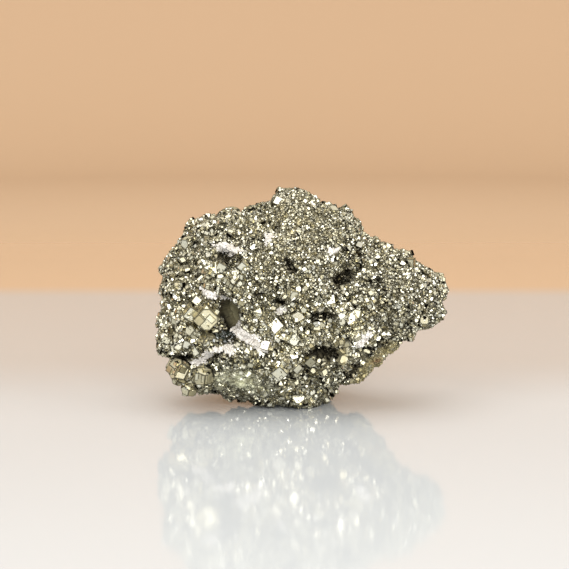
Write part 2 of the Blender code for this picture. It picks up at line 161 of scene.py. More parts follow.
# The solid's large crystals: X, Z, edge, shape, turns about X, Y and Z in degrees, and the shade from
# dull, 0, to bright, 1
FRONT_CRYSTALS = (
    (-20.4, 29.8, 3.2, "octahedron", (10, 24, 38), 0.35),
    (-18.4, 31.0, 2.0, "cube", (20, 30, 10), 0.55),
    (-25.2, 20.6, 2.8, "cube", (18, 35, 20), 0.35),
    (-21.9, 19.6, 4.3, "blunt_cube", (12, 44, 10), 0.27),
    (-24.8, 16.4, 2.8, "pyritohedron", (10, 40, 5), 0.32),
    (-21.4, 15.0, 2.4, "cube", (40, 10, 30), 0.35),
    (-26.9, 7.8, 4.2, "pyritohedron", (14, 22, 34), 0.27),
    (-22.7, 6.5, 3.9, "pyritohedron", (24, 0, 16), 0.23),
    (-25.3, 3.8, 3.0, "pyritohedron", (38, 14, 0), 0.23),
    (-19.4, 3.4, 2.6, "pyritohedron", (0, 30, 40), 0.35),
    (-6.1, 16.9, 2.7, "cube", (-29, 38, -41), 1.00),
    (-8.6, 12.6, 2.0, "cube", (-23, 10, -26), 0.95),
    (-5.2, 7.4, 2.7, "cube", (30, 44, 12), 0.95),
    (-9.4, 6.8, 2.0, "octahedron", (12, 20, 8), 0.50),
    (-1.1, 19.1, 2.0, "cube", (-26, -30, 6), 0.80),
    (-2.8, 14.3, 2.4, "blunt_cube", (8, 34, 36), 0.70),
    (6.5, 23.2, 2.0, "cube", (-23, -14, -16), 0.90),
    (10.9, 19.0, 2.3, "cube", (-33, 45, -46), 1.00),
    (9.9, 21.9, 2.0, "octahedron", (24, 30, 0), 0.60),
    (15.4, 15.6, 2.0, "cube", (-26, 30, -30), 0.90),
    (8.6, 9.8, 2.0, "blunt_cube", (0, 26, 30), 0.40),
    (-13.4, 31.2, 1.9, "cube", (30, 40, 10), 0.60),
    (-2.6, 24.8, 1.9, "blunt_cube", (20, 6, 30), 0.60),
    (-10.4, 20.4, 2.2, "octahedron", (0, 16, 34), 0.55),
    (1.4, 8.6, 2.0, "cube", (26, 36, 26), 0.45),
)
# Steps and small crystals on the large ones, for each square millimetre of a face
STEPS_ON = 1.0
GRAINS_ON = 1.6
# More large crystals at random: places tried, distance apart, edges, seed, each shape's chance, and
# how many edges above Z 0 their places are
SCATTER_TRIES = 900
SCATTER_APART = 11.2
SCATTER_EDGES = (1.8, 3.2)
SCATTER_SEED = 5
SCATTER_SHAPES = (("cube", 0.4), ("blunt_cube", 0.3), ("pyritohedron", 0.2), ("octahedron", 0.1))
SCATTER_LIFT = 0.9
# Places besides the hollows that these keep away from
KEPT_CLEAR = ((17.0, 0.0, 10.0),)
# How far below the surface a large crystal's middle lies, as a share of its edge
SUNK = 0.12
# How far a blunted cube's corners are cut back, for an edge of 1
BLUNTED = 0.2
# A pyritohedron of edge 1: half of its cube, how far out its roof edges lie, and half of such an edge
PYRITOHEDRON = (0.42, 0.63, 0.315)

# Where the grains, the stains and the quartz lie

# Where the grains are coarser (above 0) or finer: centre, reach and amount
COARSE_ZONES = (
    ((-24.0, -12.0, 19.0), 8.0, 0.60),
    ((-24.0, -10.0, 8.0), 6.5, 0.60),
    ((-6.0, -16.0, 14.0), 8.5, 0.55),
    ((0.0, -17.0, 21.0), 7.0, 0.40),
    ((11.0, -14.0, 20.0), 6.0, 0.50),
    ((-1.0, -13.0, 5.0), 9.0, 0.45),
    ((-20.0, -14.0, 30.0), 5.0, 0.45),
    ((24.0, -8.0, 28.0), 11.0, -0.30),
    ((-2.0, -12.0, 40.0), 14.0, -0.30),
    ((-14.0, -14.0, 6.0), 3.5, -0.50),
    ((8.0, 17.0, 13.0), 9.0, 0.55),
    ((-18.0, 14.0, 32.0), 9.0, 0.45),
    ((18.0, 10.0, 24.0), 6.0, 0.35),
)
# Stains: centre, reach and amount. Tarnish is khaki, rust red-brown and bloom a pale greenish film
TARNISH_ZONES = (
    ((18.5, -1.0, 12.0), 5.0, 1.90),
    ((13.0, -3.4, 7.4), 4.0, 1.60),
    ((14.0, 5.0, 5.0), 7.0, 1.20),
    ((-25.0, -11.0, 5.5), 4.5, 0.45),
    ((-3.0, -8.0, 42.0), 7.0, 0.45),
    ((6.0, -13.0, 13.0), 4.0, 0.50),
    ((4.0, -10.0, 44.0), 6.0, 0.35),
    ((-22.0, -14.0, 24.0), 2.5, 0.45),
    ((-26.0, -2.0, 26.0), 6.0, 0.35),
    ((-8.0, 18.0, 12.0), 9.0, 0.60),
    ((16.0, 10.0, 33.0), 7.0, 0.40),
)
RUST_ZONES = (
    ((16.2, -2.0, 9.8), 1.5, 0.80),
    ((-20.0, -14.0, 35.6), 1.4, 1.00),
    ((-21.0, -15.0, 25.0), 1.5, 0.70),
    ((18.0, 6.0, 10.0), 3.0, 0.60),
    ((-4.0, 19.0, 30.0), 3.5, 0.50),
)
BLOOM_ZONES = (
    ((-14.6, -10.6, 6.6), 4.2, 2.00),
    ((-9.0, -12.0, 5.0), 3.0, 0.80),
    ((14.0, 15.0, 22.0), 6.0, 0.50),
)

# White quartz grown in between the crystals: side (-1 is the front), X, Z, half length, half width,
# turn about Y in degrees and thickness
QUARTZ_PATCHES = (
    (-1.0, -16.9, 35.2, 3.2, 0.8, 10.0, 0.9),
    (-1.0, -7.9, 37.4, 0.8, 1.2, 20.0, 0.6),
    (-1.0, 6.6, 34.6, 1.3, 0.8, 0.0, 0.5),
    (-1.0, -12.6, 14.8, 4.2, 1.3, 33.0, 1.0),
    (-1.0, -17.6, 12.4, 2.2, 0.8, 5.0, 1.0),
    (-1.0, -8.9, 12.4, 1.4, 1.3, 0.0, 1.1),
    (-1.0, -22.4, 10.2, 2.9, 1.1, -28.0, 1.6),
    (-1.0, -20.6, 24.8, 2.8, 0.7, 18.0, 0.8),
    (-1.0, -5.3, 21.0, 1.2, 0.7, -20.0, 0.8),
    (-1.0, 13.3, 14.5, 2.3, 1.2, -45.0, 0.8),
    (1.0, -6.0, 33.0, 3.6, 1.2, 30.0, 0.8),
    (1.0, 13.0, 26.0, 2.4, 1.4, -20.0, 0.8),
    (1.0, -14.0, 12.0, 4.2, 1.3, -12.0, 0.9),
    (1.0, 4.0, 10.0, 2.0, 1.0, 40.0, 0.7),
)
# Dark glassy crystals on the floor of the large hollow: X, Z and half sizes of where they stand
GLASSY_PATCH = (-17.8, 15.0, 2.3, 1.4)
# Share of a hollow's half sizes at which its painted shade, bare wall and missing crystals start to fade,
# and where they end
HOLLOW_EDGE = (1.0, 1.2)
# The hollows whose walls are smooth and bare of crystals
SMOOTH_HOLLOWS = ("vug",)

# How the grains, crystals and stains are made

# Patterns of small domes: spacing, and a number that picks the pattern
MASS_GRAINS = (0.9, 53)
COARSE_PATCHES = (3.6, 61)
STAIN_PATCHES = (2.6, 67)
QUARTZ_RIMS = (1.1, 89)
QUARTZ_GRAINS = (0.5, 71)
# Coarseness outside the zones, the dome height at which a patch adds nothing, and what it adds above
PLAIN_COARSENESS = 0.22
PATCH_LEVEL = 0.6
PATCH_COARSENESS = 0.35
# The dome height above which tarnish lies everywhere, how much of it, and the most of any stain
STAIN_LEVEL = 0.55
TARNISH_EVERYWHERE = 0.9
MOST_STAIN = 2.0
# The turn in degrees of the cells that space crystals out, how far their seeds keep from the cells'
# walls, and how near a seed a point has to be, as shares of a cell
CELL_TURN = (31.0, 17.0, 43.0)
SEED_MARGIN = 0.15
SEED_NEAR = 0.62
# Numbers that pick the seeds of each kind of crystal
FINE_SALT = 83
LARGE_SALT = 97
QUARTZ_SALT = 101
GLASSY_SALT = 107
# The least and the most that a crystal is stretched along each of its axes
STRETCH = (0.8, 1.2)
# Where a step or a small crystal sits on a large one, as shares of its edge: how far from the middle of
# the face, how far out, and how much farther out on a pyritohedron
SPOT_REACH = 0.36
SPOT_OUT = (0.38, 0.46)
SPOT_OUT_MORE = 1.12
# Steps: how far they reach over the face and how thick they are, as shares of the large crystal's
# edge, and how far their shade wanders
STEP_REACH = (0.15, 0.5)
STEP_THICK = 0.18
STEP_SHADES = 0.15
# Small crystals on the large ones: edges, and each shape's share
SMALL_EDGES = (0.4, 0.8)
SMALL_SHAPES = {"cube": 0.7, "octahedron": 0.3}
# Fine crystals: the middle and width of the bell curve that the logarithms of their edges follow, for a
# spacing of 1, the share of that on the finest ground, what the coarsest ground adds, the least and the
# greatest edge, the Y up to which the front's spacing goes, and the X at which the pieces meet
FINE_SPREAD = (0.15, 0.28)
FINE_SIZE = 0.95
COARSE_SIZE = 0.3
FINE_EDGES = (0.3, 1.2)
FINE_FRONT = 2.0
FINE_SPLIT = -2.0
# The share of a quartz sheet's half sizes that is clear of fine crystals, and what the domes add to it
QUARTZ_BARE = 0.7
QUARTZ_RAGGED = 0.4
# The share of the fine crystals that is missing in the hollows
HOLLOW_BARE = 0.5
# Larger crystals all over: the setting that holds their spacing, how coarse the ground has to be, the
# least and the greatest edge, and each shape's share
STREWN = (
    ("medium", 0.40, 0.9, 1.4, {"cube": 0.5, "octahedron": 0.2, "pyritohedron": 0.3}),
    ("coarse", 0.62, 1.2, 1.8, {"cube": 0.4, "blunt_cube": 0.3, "pyritohedron": 0.3}),
    ("flecks", -1.0, 0.8, 1.2, {"cube": 0.6, "blunt_cube": 0.2, "octahedron": 0.2}),
)
# How far their middles lie below the surface, as a share of the edge, and their least height
STREWN_SUNK = 0.1
STREWN_LOWEST = 0.9
# A quartz sheet: its rings and spokes, the height of its grains, and how far its edge wanders, slowly
# and quickly, as shares, with the number of waves round it
PATCH_RINGS = 24
PATCH_SPOKES = 64
QUARTZ_RELIEF = 0.22
SLOW_WANDER = (0.2, 3.0)
QUICK_WANDER = (0.16, 7.0)
# Crystals on the quartz: points tried, spacing, edges, and each shape's share
QUARTZ_TRIES = 20000
QUARTZ_SPACING = 0.6
QUARTZ_EDGES = (0.35, 0.75)
QUARTZ_SHAPES = {"quartz": 0.6, "cube": 0.4}
# Glassy crystals: spacing, edges, and each shape's share
GLASSY_SPACING = 0.8
GLASSY_EDGES = (0.6, 1.2)
GLASSY_SHAPES = {"octahedron": 0.5, "blunt_cube": 0.5}
# On the maps that the bake uses: a face's radius in its square, and the margin round each square
FACE_ON_MAP = 0.48
PATCH_MARGIN = 0.01
CRYSTAL_MARGIN = 0.03
QUAD_MARGIN = 0.05

# The materials

# Where the middle colour stands between dull and bright
MIDDLE_SHADE = 0.45
# How much painted shade the hollows' crystals and ground take
HOLLOW_SHADE = 0.85
# How much of the painted shade of the gaps a film covers, how much rougher stains and the shaded
# gaps make the metal, and how much of the metal's shine a stain takes
FILM_COVER = 0.45
STAIN_ROUGHNESS = 0.3
GAP_ROUGHNESS = 0.5
STAIN_COVER = 0.7
# The mass: the power that darkens its faces' shades towards the painted shade of the gaps, its roughness
# on dull and on bright faces, how far it is metal, and how deep in the large hollow, in millimetres, the
# wall comes out of its painted shade
MASS_CONTRAST = 3.0
MASS_ROUGHNESS = (0.55, 0.30)
MASS_METAL = 0.9
WALL_LIT = (1.5, 4.0)
# The darkest and the palest of the glassy crystals
GLASSY_DARK = (0.012, 0.016, 0.012, 1.0)
GLASSY_PALE = (0.09, 0.10, 0.08, 1.0)
# Quartz grains per metre, and how high they stand in metres
SUGAR_SCALE = 2600.0
SUGAR_HEIGHT = 0.0002
# The table's roughness and the backdrop's
SHINE_TO_MATT = (0.07, 0.7)

# The stage

# The point that the camera looks at and the one that the softboxes look at, in metres
LOOK_AT = (-0.0043, 0.0, 0.027)
LIGHT_AT = (0.0, 0.0, 0.024)
EVEN_LIGHT = (1.0, 0.955, 0.865, 1.0)
SENSOR_WIDTH = 36.0
NEAREST_SEEN = 0.01
# A round table that bends up into a wall, in metres: the radius of a ring on it and the one where the
# bend starts, the bend's own radius, the height of the wall's top, and how far the table lies below the
# lump
TABLE_RING = 0.3
TABLE_RADIUS = 0.62
BEND_RADIUS = 0.2
WALL_TOP = 0.34
TABLE_DROP = 0.00002
BEND_STEPS = 16
TABLE_SPOKES = 96
# Softboxes that look at the lump: name, place in metres, side, and power as a share of the light power
SOFTBOXES = (
    ("top_softbox", (-0.05, 0.05, 0.80), 0.80, 0.36),
    ("key_softbox", (-0.50, -0.45, 0.45), 0.55, 0.27),
    ("right_softbox", (0.62, -0.28, 0.22), 0.48, 0.24),
    ("front_softbox", (0.14, -0.66, 0.24), 0.40, 0.30),
)

SHAPES = ("cube", "blunt_cube", "octahedron", "pyritohedron", "quartz")
# How much the faces of a large crystal differ in shade and those of a fine one, and the edges at
# which a crystal stops counting as fine and starts counting as large
FACES_VARY = 0.28
FINE_FACES_VARY = 0.2
FINE_TO_LARGE = (0.8, 2.0)
# The tint that the metal takes on where it is seen at a slant
EDGE_TINT = (0.72, 0.64, 0.46, 1.0)
# How much higher over the ground a crystal counts for each millimetre of edge past the first, so that
# less of a large crystal takes the painted shade of the gaps
LARGE_CLEAR = 0.4


def smooth_step(value, start, end):
    """0 before start and 1 past end, with a soft S between them."""
    t = np.clip((value - start) / (end - start), 0.0, 1.0)
    return t * t * (3.0 - 2.0 * t)


def cell_random(cells, salt):
    """One number from 0 to 1 for each whole-number cell, the same on every run."""
    cells = cells.astype(np.int64)
    mixed = cells[..., 0] * 73856093 ^ cells[..., 1] * 19349663 ^ cells[..., 2] * 83492791
    mixed = (mixed ^ salt * 2654435761) & 0xFFFFFFFF
    mixed = ((mixed ^ (mixed >> 13)) * 1274126177) & 0xFFFFFFFF
    mixed = ((mixed ^ (mixed >> 16)) * 2246822519) & 0xFFFFFFFF
    return ((mixed ^ (mixed >> 15)) & 0xFFFFFF) / float(0x1000000)


def rounded_lumps(points, spacing, salt):
    """Domes round scattered seeds, one in each cubic cell: 1 less the squared distance to the nearest."""
    cells = np.floor(points / spacing)
    nearest = np.full(len(points), 9.0)
    for offset in np.ndindex(3, 3, 3):
        cell = cells + np.array(offset) - 1.0
        jitter = np.stack([cell_random(cell, salt + axis) for axis in range(3)], axis=1)
        gap = np.linalg.norm((cell + jitter) * spacing - points, axis=1) / spacing
        nearest = np.minimum(nearest, gap)
    return 1.0 - np.clip(nearest, 0.0, 1.0) ** 2


def broken_faces(points, spacing, salt):
    """Flat faces that tilt at random: half, plus the way from the nearest seed along that seed's tilt."""
    cells = np.floor(points / spacing)
    nearest = np.full(len(points), 9.0)
    height = np.zeros(len(points))
    for offset in np.ndindex(3, 3, 3):
        cell = cells + np.array(offset) - 1.0
        jitter = np.stack([cell_random(cell, salt + axis) for axis in range(3)], axis=1)
        tilt = np.stack([cell_random(cell, salt + 5 + axis) for axis in range(3)], axis=1) * 2.0 - 1.0
        away = points / spacing - (cell + jitter)
        gap = np.linalg.norm(away, axis=1)
        here = gap < nearest
        nearest = np.where(here, gap, nearest)
        height = np.where(here, np.clip(0.5 + (away * tilt).sum(axis=1), 0.0, 1.0), height)
    return height


def zone_share(points, zones):
    """At each point, the sum of the zones: each zone's amount, fading as a bell curve over its reach."""
    share = np.zeros(len(points))
    for centre, reach, amount in zones:
        share += amount * np.exp(-(((points - np.array(centre)) / reach) ** 2).sum(axis=1))
    return share


def outline_reach(angles):
    """How far the front outline lies from the middle, at each angle in the XZ plane."""
    corners = np.array(FRONT_OUTLINE) - np.array([MIDDLE[0], MIDDLE[2]])
    corner_angles = np.arctan2(corners[:, 1], corners[:, 0])
    return np.interp(angles, corner_angles, np.hypot(corners[:, 0], corners[:, 1]), period=math.tau)


def depth_share(x, z):
    """The share of the full depth that the lump has at X and Z: less on the wing, knob and foot."""
    share = np.ones_like(x)
    for value, (start, end, least) in ((x, WING), (z, KNOB), (z, FOOT)):
        share = share * (1.0 - (1.0 - least) * smooth_step(value, start, end))
    return share


def plain_form(directions):
    """The smooth lump: the outline's reach at the rim, bulging along Y to the front and back."""
    angles = np.arctan2(directions[:, 2], directions[:, 0])
    rim = np.hypot(directions[:, 0], directions[:, 2])
    reach = outline_reach(angles) * rim**RIM_FULLNESS
    x = MIDDLE[0] + reach * np.cos(angles)
    z = MIDDLE[2] + reach * np.sin(angles)
    along = np.sign(directions[:, 1]) * np.abs(directions[:, 1]) ** FACE_FULLNESS
    depth = np.where(directions[:, 1] < 0.0, FRONT_DEPTH, BACK_DEPTH)
    return np.stack([x, MIDDLE[1] + along * depth * depth_share(x, z), z], axis=1)


def outward(points):
    """The way out of the lump at each point, as on an egg of the lump's own proportions."""
    from_middle = points - np.array(MIDDLE)
    steep = from_middle / np.array(PROPORTIONS) ** 2
    return steep / np.linalg.norm(steep, axis=1, keepdims=True)


def rough_form(directions):
    """Points of the lump's surface and the way out of it: the plain form, its swells and its lumps."""
    points = plain_form(directions)
    way = outward(points)
    swollen = points.copy()
    for centre, reach, push in SWELLS:
        near = np.exp(-(((points - np.array(centre)) / reach) ** 2).sum(axis=1))
        swollen += near[:, None] * np.array(push)
    height = np.zeros(len(points))
    for spacing, tall, salt in LUMPS:
        height += tall * (rounded_lumps(points, spacing, salt) - LUMPS_INSIDE)
    return swollen + way * height[:, None], way


def face_directions(x, z, side):
    """Directions from the middle to the face at X and Z: side -1 is the front and 1 the back."""
    x = np.asarray(x, float) - MIDDLE[0]
    z = np.asarray(z, float) - MIDDLE[2]
    angles = np.arctan2(z, x)
    rim = np.minimum(np.hypot(x, z) / outline_reach(angles), RIM_LIMIT) ** (1.0 / RIM_FULLNESS)
    return np.stack([rim * np.cos(angles), side * np.sqrt(1.0 - rim**2), rim * np.sin(angles)], axis=1)


def seen_place(x, z):
    """X and Z of the front face where the line of sight through (x, 0, z) meets it, found by stepping
    along that line to the face's own depth a few times."""
    eye = np.array(VIEW_FROM)
    sight = np.array([x, 0.0, z]) - eye
    spot = eye + sight
    for _ in range(SIGHT_STEPS):
        depth = rough_form(face_directions([spot[0]], [spot[2]], -1.0))[0][0, 1]
        spot = eye + sight * (depth - eye[1]) / sight[1]
    return spot[0], spot[2]


def turned(degrees_xyz):
    """The rotation that turns by these degrees about X, then Y, then Z."""
    x, y, z = (math.radians(angle) for angle in degrees_xyz)
    return Matrix.Rotation(z, 3, "Z") @ Matrix.Rotation(y, 3, "Y") @ Matrix.Rotation(x, 3, "X")


def hollow_places():
    """Name, centre, half sizes and rotation of each hollow, set in from the face that it opens on."""
    for hollows, side in ((FRONT_HOLLOWS, -1.0), (BACK_HOLLOWS, 1.0)):
        for name, x, z, depth, half, turn in hollows:
            if side < 0.0:
                x, z = seen_place(x, z)
            mouth = rough_form(face_directions([x], [z], side))[0][0]
            centre = mouth - np.array([0.0, side * depth, 0.0])
            yield name, centre, np.array(half), np.array(turned((0.0, turn, 0.0)))


def pushed_in(points, way, centre, half, turn):
    """How far points inside a hollow's egg move against the way out, to where that line leaves it."""
    start = (points - centre) @ turn / half
    step = -(way @ turn) / half
    a = (step**2).sum(axis=1)
    b = (start * step).sum(axis=1)
    c = (start**2).sum(axis=1) - 1.0
    far_root = (-b + np.sqrt(np.maximum(b**2 - a * c, 0.0))) / a
    return np.where(c < 0.0, far_root, 0.0)


def box_overshoot(points):
    """How far points reach out of the solid's own box along each axis, where the last but one axis of
    the array lists the points of one body."""
    low, high = (np.array(corner) / MM for corner in SOLID_BOX)
    over = np.maximum(points.max(axis=-2) - high, 0.0)
    under = np.maximum(low - points.min(axis=-2), 0.0)
    return over - under


def mass_surface(directions, sunk, relief):
    """The mass in each direction, the way out there, and how far a hollow has pushed it in: the rough
    form with broken faces and small grains, sunk by this much so that crystals on it reach the form,
    with every hollow pushed in and the foot cut flat at Z 0."""
    points, way = rough_form(directions)
    for spacing, tall, salt in FACETS:
        points += way * (tall * (broken_faces(points, spacing, salt) - 0.5))[:, None]
    grains = rounded_lumps(points, *MASS_GRAINS)
    points += way * (relief * (grains - 0.5) - sunk)[:, None]
    depth = np.zeros(len(points))
    for _, centre, half, turn in hollow_places():
        step = pushed_in(points, way, centre, half, turn)
        points -= way * step[:, None]
        depth += step
    points[:, 2] = np.maximum(points[:, 2], 0.0)
    return points, way, depth


def cube_sphere(cells):
    """Directions over a cube's six faces blown up into a sphere, on a grid of even angles: points,
    quads that face out, and each corner's place on a map of three by two squares."""
    angles = np.tan(np.linspace(-math.pi / 4.0, math.pi / 4.0, cells + 1))
    u, v = np.meshgrid(angles, angles, indexing="ij")
    corner = np.arange((cells + 1) ** 2).reshape(cells + 1, cells + 1)
    quads = np.stack([corner[:-1, :-1], corner[1:, :-1], corner[1:, 1:], corner[:-1, 1:]], axis=-1)
    quads = quads.reshape(-1, 4)
    steps = np.linspace(PATCH_MARGIN, 1.0 - PATCH_MARGIN, cells + 1)
    places = np.stack(np.meshgrid(steps, steps, indexing="ij"), axis=-1).reshape(-1, 2)
    all_points, all_quads, all_places = [], [], []
    for axis in range(3):
        for side in (-1.0, 1.0):
            spots = np.empty((cells + 1, cells + 1, 3))
            spots[..., axis] = side
            spots[..., (axis + 1) % 3] = u
            spots[..., (axis + 2) % 3] = v
            patch = len(all_points)
            all_points.append(spots.reshape(-1, 3))
            all_quads.append((quads if side > 0.0 else quads[:, ::-1]) + patch * len(places))
            all_places.append((places + np.array([patch % 3, patch // 3])) / np.array([3.0, 2.0]))
    points = np.concatenate(all_points)
    quads = np.concatenate(all_quads)
    places = np.concatenate(all_places)[quads.ravel()]
    # The patches share the points along their edges
    _, first, joined = np.unique(np.round(points, 6), axis=0, return_index=True, return_inverse=True)
    points = points[first]
    return points / np.linalg.norm(points, axis=1, keepdims=True), joined.reshape(-1)[quads], places


def signs(x, y, z):
    """The points whose coordinates are x, y and z with either sign, each point once."""
    return sorted({(x * a, y * b, z * c) for a in (-1, 1) for b in (-1, 1) for c in (-1, 1)})


def crystal_corners(shape):
    """The corners of a crystal of edge 1: a cube, a blunted cube, pyrite's other forms, or quartz."""
    if shape == "cube":
        return signs(0.5, 0.5, 0.5)
    if shape == "blunt_cube":
        cut = 0.5 - BLUNTED
        return signs(cut, 0.5, 0.5) + signs(0.5, cut, 0.5) + signs(0.5, 0.5, cut)
    if shape == "octahedron":
        return signs(0.75, 0.0, 0.0) + signs(0.0, 0.75, 0.0) + signs(0.0, 0.0, 0.75)
    if shape == "quartz":
        ring = [(0.38 * math.cos(k * math.pi / 3.0), 0.38 * math.sin(k * math.pi / 3.0)) for k in range(6)]
        return [(x, y, z) for x, y in ring for z in (-0.5, 0.5)] + [(0.0, 0.0, -0.9), (0.0, 0.0, 0.9)]
    # The pyritohedron's twelve pentagons meet at a cube's corners and at twelve roof ends
    side, roof, eave = PYRITOHEDRON
    return (signs(side, side, side) + signs(0.0, roof, eave)
            + signs(roof, eave, 0.0) + signs(eave, 0.0, roof))


class Template(NamedTuple):
    """One crystal of edge 1: its points, its polygons' corners as one run, each polygon's number of
    corners, each corner's place on a square map, and its rim: two coordinates of which the larger goes
    from 0 in the middle of the crystal's face to 1 on its edges, and how far those edges lie from the
    middle. Last, which of the crystal's faces each polygon belongs to."""

    points: np.ndarray
    corners: np.ndarray
    sizes: np.ndarray
    places: np.ndarray
    rims: np.ndarray
    faces: np.ndarray


def crystal_template(shape):
    """The convex body of a crystal's corners. On its map, each face is a regular polygon of its own.
    Faces with more or fewer than four corners are cut into triangles round their middle."""
    bm = bmesh.new()
    for corner in crystal_corners(shape):
        bm.verts.new(corner)
    bmesh.ops.convex_hull(bm, input=bm.verts)
    bmesh.ops.dissolve_limit(bm, angle_limit=0.02, verts=bm.verts, edges=bm.edges)
    bmesh.ops.recalc_face_normals(bm, faces=bm.faces)
    bm.verts.index_update()
    points = [tuple(v.co) for v in bm.verts]
    faces = [([v.index for v in face.verts], tuple(face.calc_center_median()),
              2.0 * face.calc_area() / face.calc_perimeter()) for face in bm.faces]
    bm.free()
    side = math.ceil(math.sqrt(len(faces)))
    corners, sizes, places, rims, owners = [], [], [], [], []
    for number, (face, middle, reach) in enumerate(faces):
        square = np.array([number % side, number // side]) + 0.5
        spin = (np.arange(len(face)) + 0.5) * math.tau / len(face)
        ring = np.stack([np.cos(spin), np.sin(spin)], axis=1)
        if len(face) == 4:
            corners += face
            sizes.append(4)
            owners.append(number)
            places.extend((square + FACE_ON_MAP * ring) / side)
            rims += [(*np.sign(corner), reach) for corner in ring]
            continue
        for first in range(len(face)):
            second = (first + 1) % len(face)
            corners += [len(points), face[first], face[second]]
            sizes.append(3)
            owners.append(number)
            fan = np.array([(0.0, 0.0), ring[first], ring[second]])
            places.extend((square + FACE_ON_MAP * fan) / side)
            rims += [(0.0, 0.0, reach), (1.0, 0.0, reach), (1.0, 0.0, reach)]
        points.append(middle)
    return Template(*(np.array(values) for values in (points, corners, sizes, places, rims, owners)))


class Crystals(NamedTuple):
    """Many crystals as arrays: each one's middle, the point of the surface that it grows from and the
    way out there, its edge, its rotation, its stretch along its own axes, its shape, and its shade
    from dull to bright."""

    middles: np.ndarray
    feet: np.ndarray
    ways: np.ndarray
    edges: np.ndarray
    turns: np.ndarray
    stretches: np.ndarray
    shapes: np.ndarray
    shades: np.ndarray

    def where(self, chosen):
        """The crystals that an index or a mask picks."""
        return Crystals(*(values[chosen] for values in self))


def joined_crystals(groups):
    """Several Crystals as one."""
    return Crystals(*(np.concatenate(values) for values in zip(*groups)))


def random_turns(count, random):
    """Rotations to every side with even chances, from unit quaternions."""
    parts = random.normal(size=(4, count))
    w, x, y, z = parts / np.linalg.norm(parts, axis=0)
    rows = [
        [1 - 2 * (y * y + z * z), 2 * (x * y - z * w), 2 * (x * z + y * w)],
        [2 * (x * y + z * w), 1 - 2 * (x * x + z * z), 2 * (y * z - x * w)],
        [2 * (x * z - y * w), 2 * (y * z + x * w), 1 - 2 * (x * x + y * y)],
    ]
    return np.moveaxis(np.array(rows), 2, 0)


def grown(points, ways, edges, sunk, mix, random):
    """Crystals of these edges at these points, in every position, with their middles this share of an
    edge below the surface. mix gives each shape's share."""
    count = len(points)
    return Crystals(
        points - ways * (edges * sunk)[:, None],
        points,
        ways,
        edges,
        random_turns(count, random),
        random.uniform(*STRETCH, (count, 3)),
        random.choice(list(mix), count, p=list(mix.values())),
        random.random(count),
    )


def surface_samples(points, quads, count, random):
    """Points spread evenly by area over a surface of quads, and the way out of it at each."""
    triangles = np.concatenate([quads[:, [0, 1, 2]], quads[:, [0, 2, 3]]])
    a, b, c = (points[triangles[:, corner]] for corner in range(3))
    across = np.cross(b - a, c - a)
    area = np.linalg.norm(across, axis=1)
    picked = random.choice(len(area), count, p=area / area.sum())
    root = np.sqrt(random.random(count))[:, None]
    slide = random.random(count)[:, None]
    spots = a[picked] * (1.0 - root) + b[picked] * root * (1.0 - slide) + c[picked] * root * slide
    return spots, across[picked] / area[picked][:, None]


def one_per_cell(points, spacing, salt):
    """The point nearest a seed in each cubic cell this wide, so that those kept stand about that far
    apart. The cells are turned and the seeds scattered, so that no rows show."""
    own = points @ np.array(turned(CELL_TURN)) / spacing
    cells = np.floor(own)
    seeds = np.stack([cell_random(cells, salt + axis) for axis in range(3)], axis=1)
    seeds = seeds * (1.0 - 2.0 * SEED_MARGIN) + SEED_MARGIN
    gap = np.linalg.norm(own - cells - seeds, axis=1)
    order = np.argsort(gap)
    # One whole number for each cell, as there are fewer than 1024 cells along each axis
    keys = (cells[order] + 512.0) @ np.array([1024.0**2, 1024.0, 1.0])
    _, first = np.unique(keys, return_index=True)
    chosen = order[first]
    return chosen[gap[chosen] < SEED_NEAR]


def coarseness(points):
    """0 where the grains are finest and 1 where they are coarsest: the zones, and patches at random."""
    patches = rounded_lumps(points, *COARSE_PATCHES) - PATCH_LEVEL
    zones = zone_share(points, COARSE_ZONES)
    return np.clip(PLAIN_COARSENESS + zones + PATCH_COARSENESS * patches, 0.0, 1.0)


def far_from(points, kept, apart):
    """Whether each point lies at least apart from every kept one."""
    if not len(kept):
        return np.ones(len(points), bool)
    gaps = np.linalg.norm(points[:, None, :] - np.array(kept)[None, :, :], axis=2)
    return (gaps >= apart).all(axis=1)


def solid_crystals():
    """The crystals that the solid has, each at its own place, with its own edge, shape and turn."""
    kept, found = [], []
    for seen_x, seen_z, edge, shape, turns, shade in FRONT_CRYSTALS:
        x, z = seen_place(seen_x, seen_z)
        points, way = rough_form(face_directions([x], [z], -1.0))
        kept.append(points[0])
        found.append((points[0], way[0], edge, turned(turns), shape, shade))
    random = np.random.default_rng(SCATTER_SEED)
    directions = random.normal(size=(SCATTER_TRIES, 3))
    directions /= np.linalg.norm(directions, axis=1, keepdims=True)
    points, way = rough_form(directions)
    edges = random.uniform(*SCATTER_EDGES, SCATTER_TRIES)
    turns = random.uniform(0.0, 360.0, (SCATTER_TRIES, 3))
    names, chances = zip(*SCATTER_SHAPES)
    shapes = random.choice(names, SCATTER_TRIES, p=chances)
    hollows = [centre for _, centre, _, _ in hollow_places()]
    free = far_from(points, [*hollows, *KEPT_CLEAR], SCATTER_APART) & (points[:, 2] > edges * SCATTER_LIFT)
    shades = random.uniform(0.2, 0.7, SCATTER_TRIES)
    for place in np.flatnonzero(free):
        if far_from(points[place][None, :], kept, SCATTER_APART)[0]:
            kept.append(points[place])
            found.append((points[place], way[place], edges[place], turned(turns[place]),
                          shapes[place], shades[place]))
    feet, ways, edges, turns, shapes, shades = (np.array(values) for values in zip(*found))
    middles = feet - ways * (edges * SUNK)[:, None]
    return Crystals(middles, feet, ways, edges, turns, np.ones((len(found), 3)), shapes, shades)


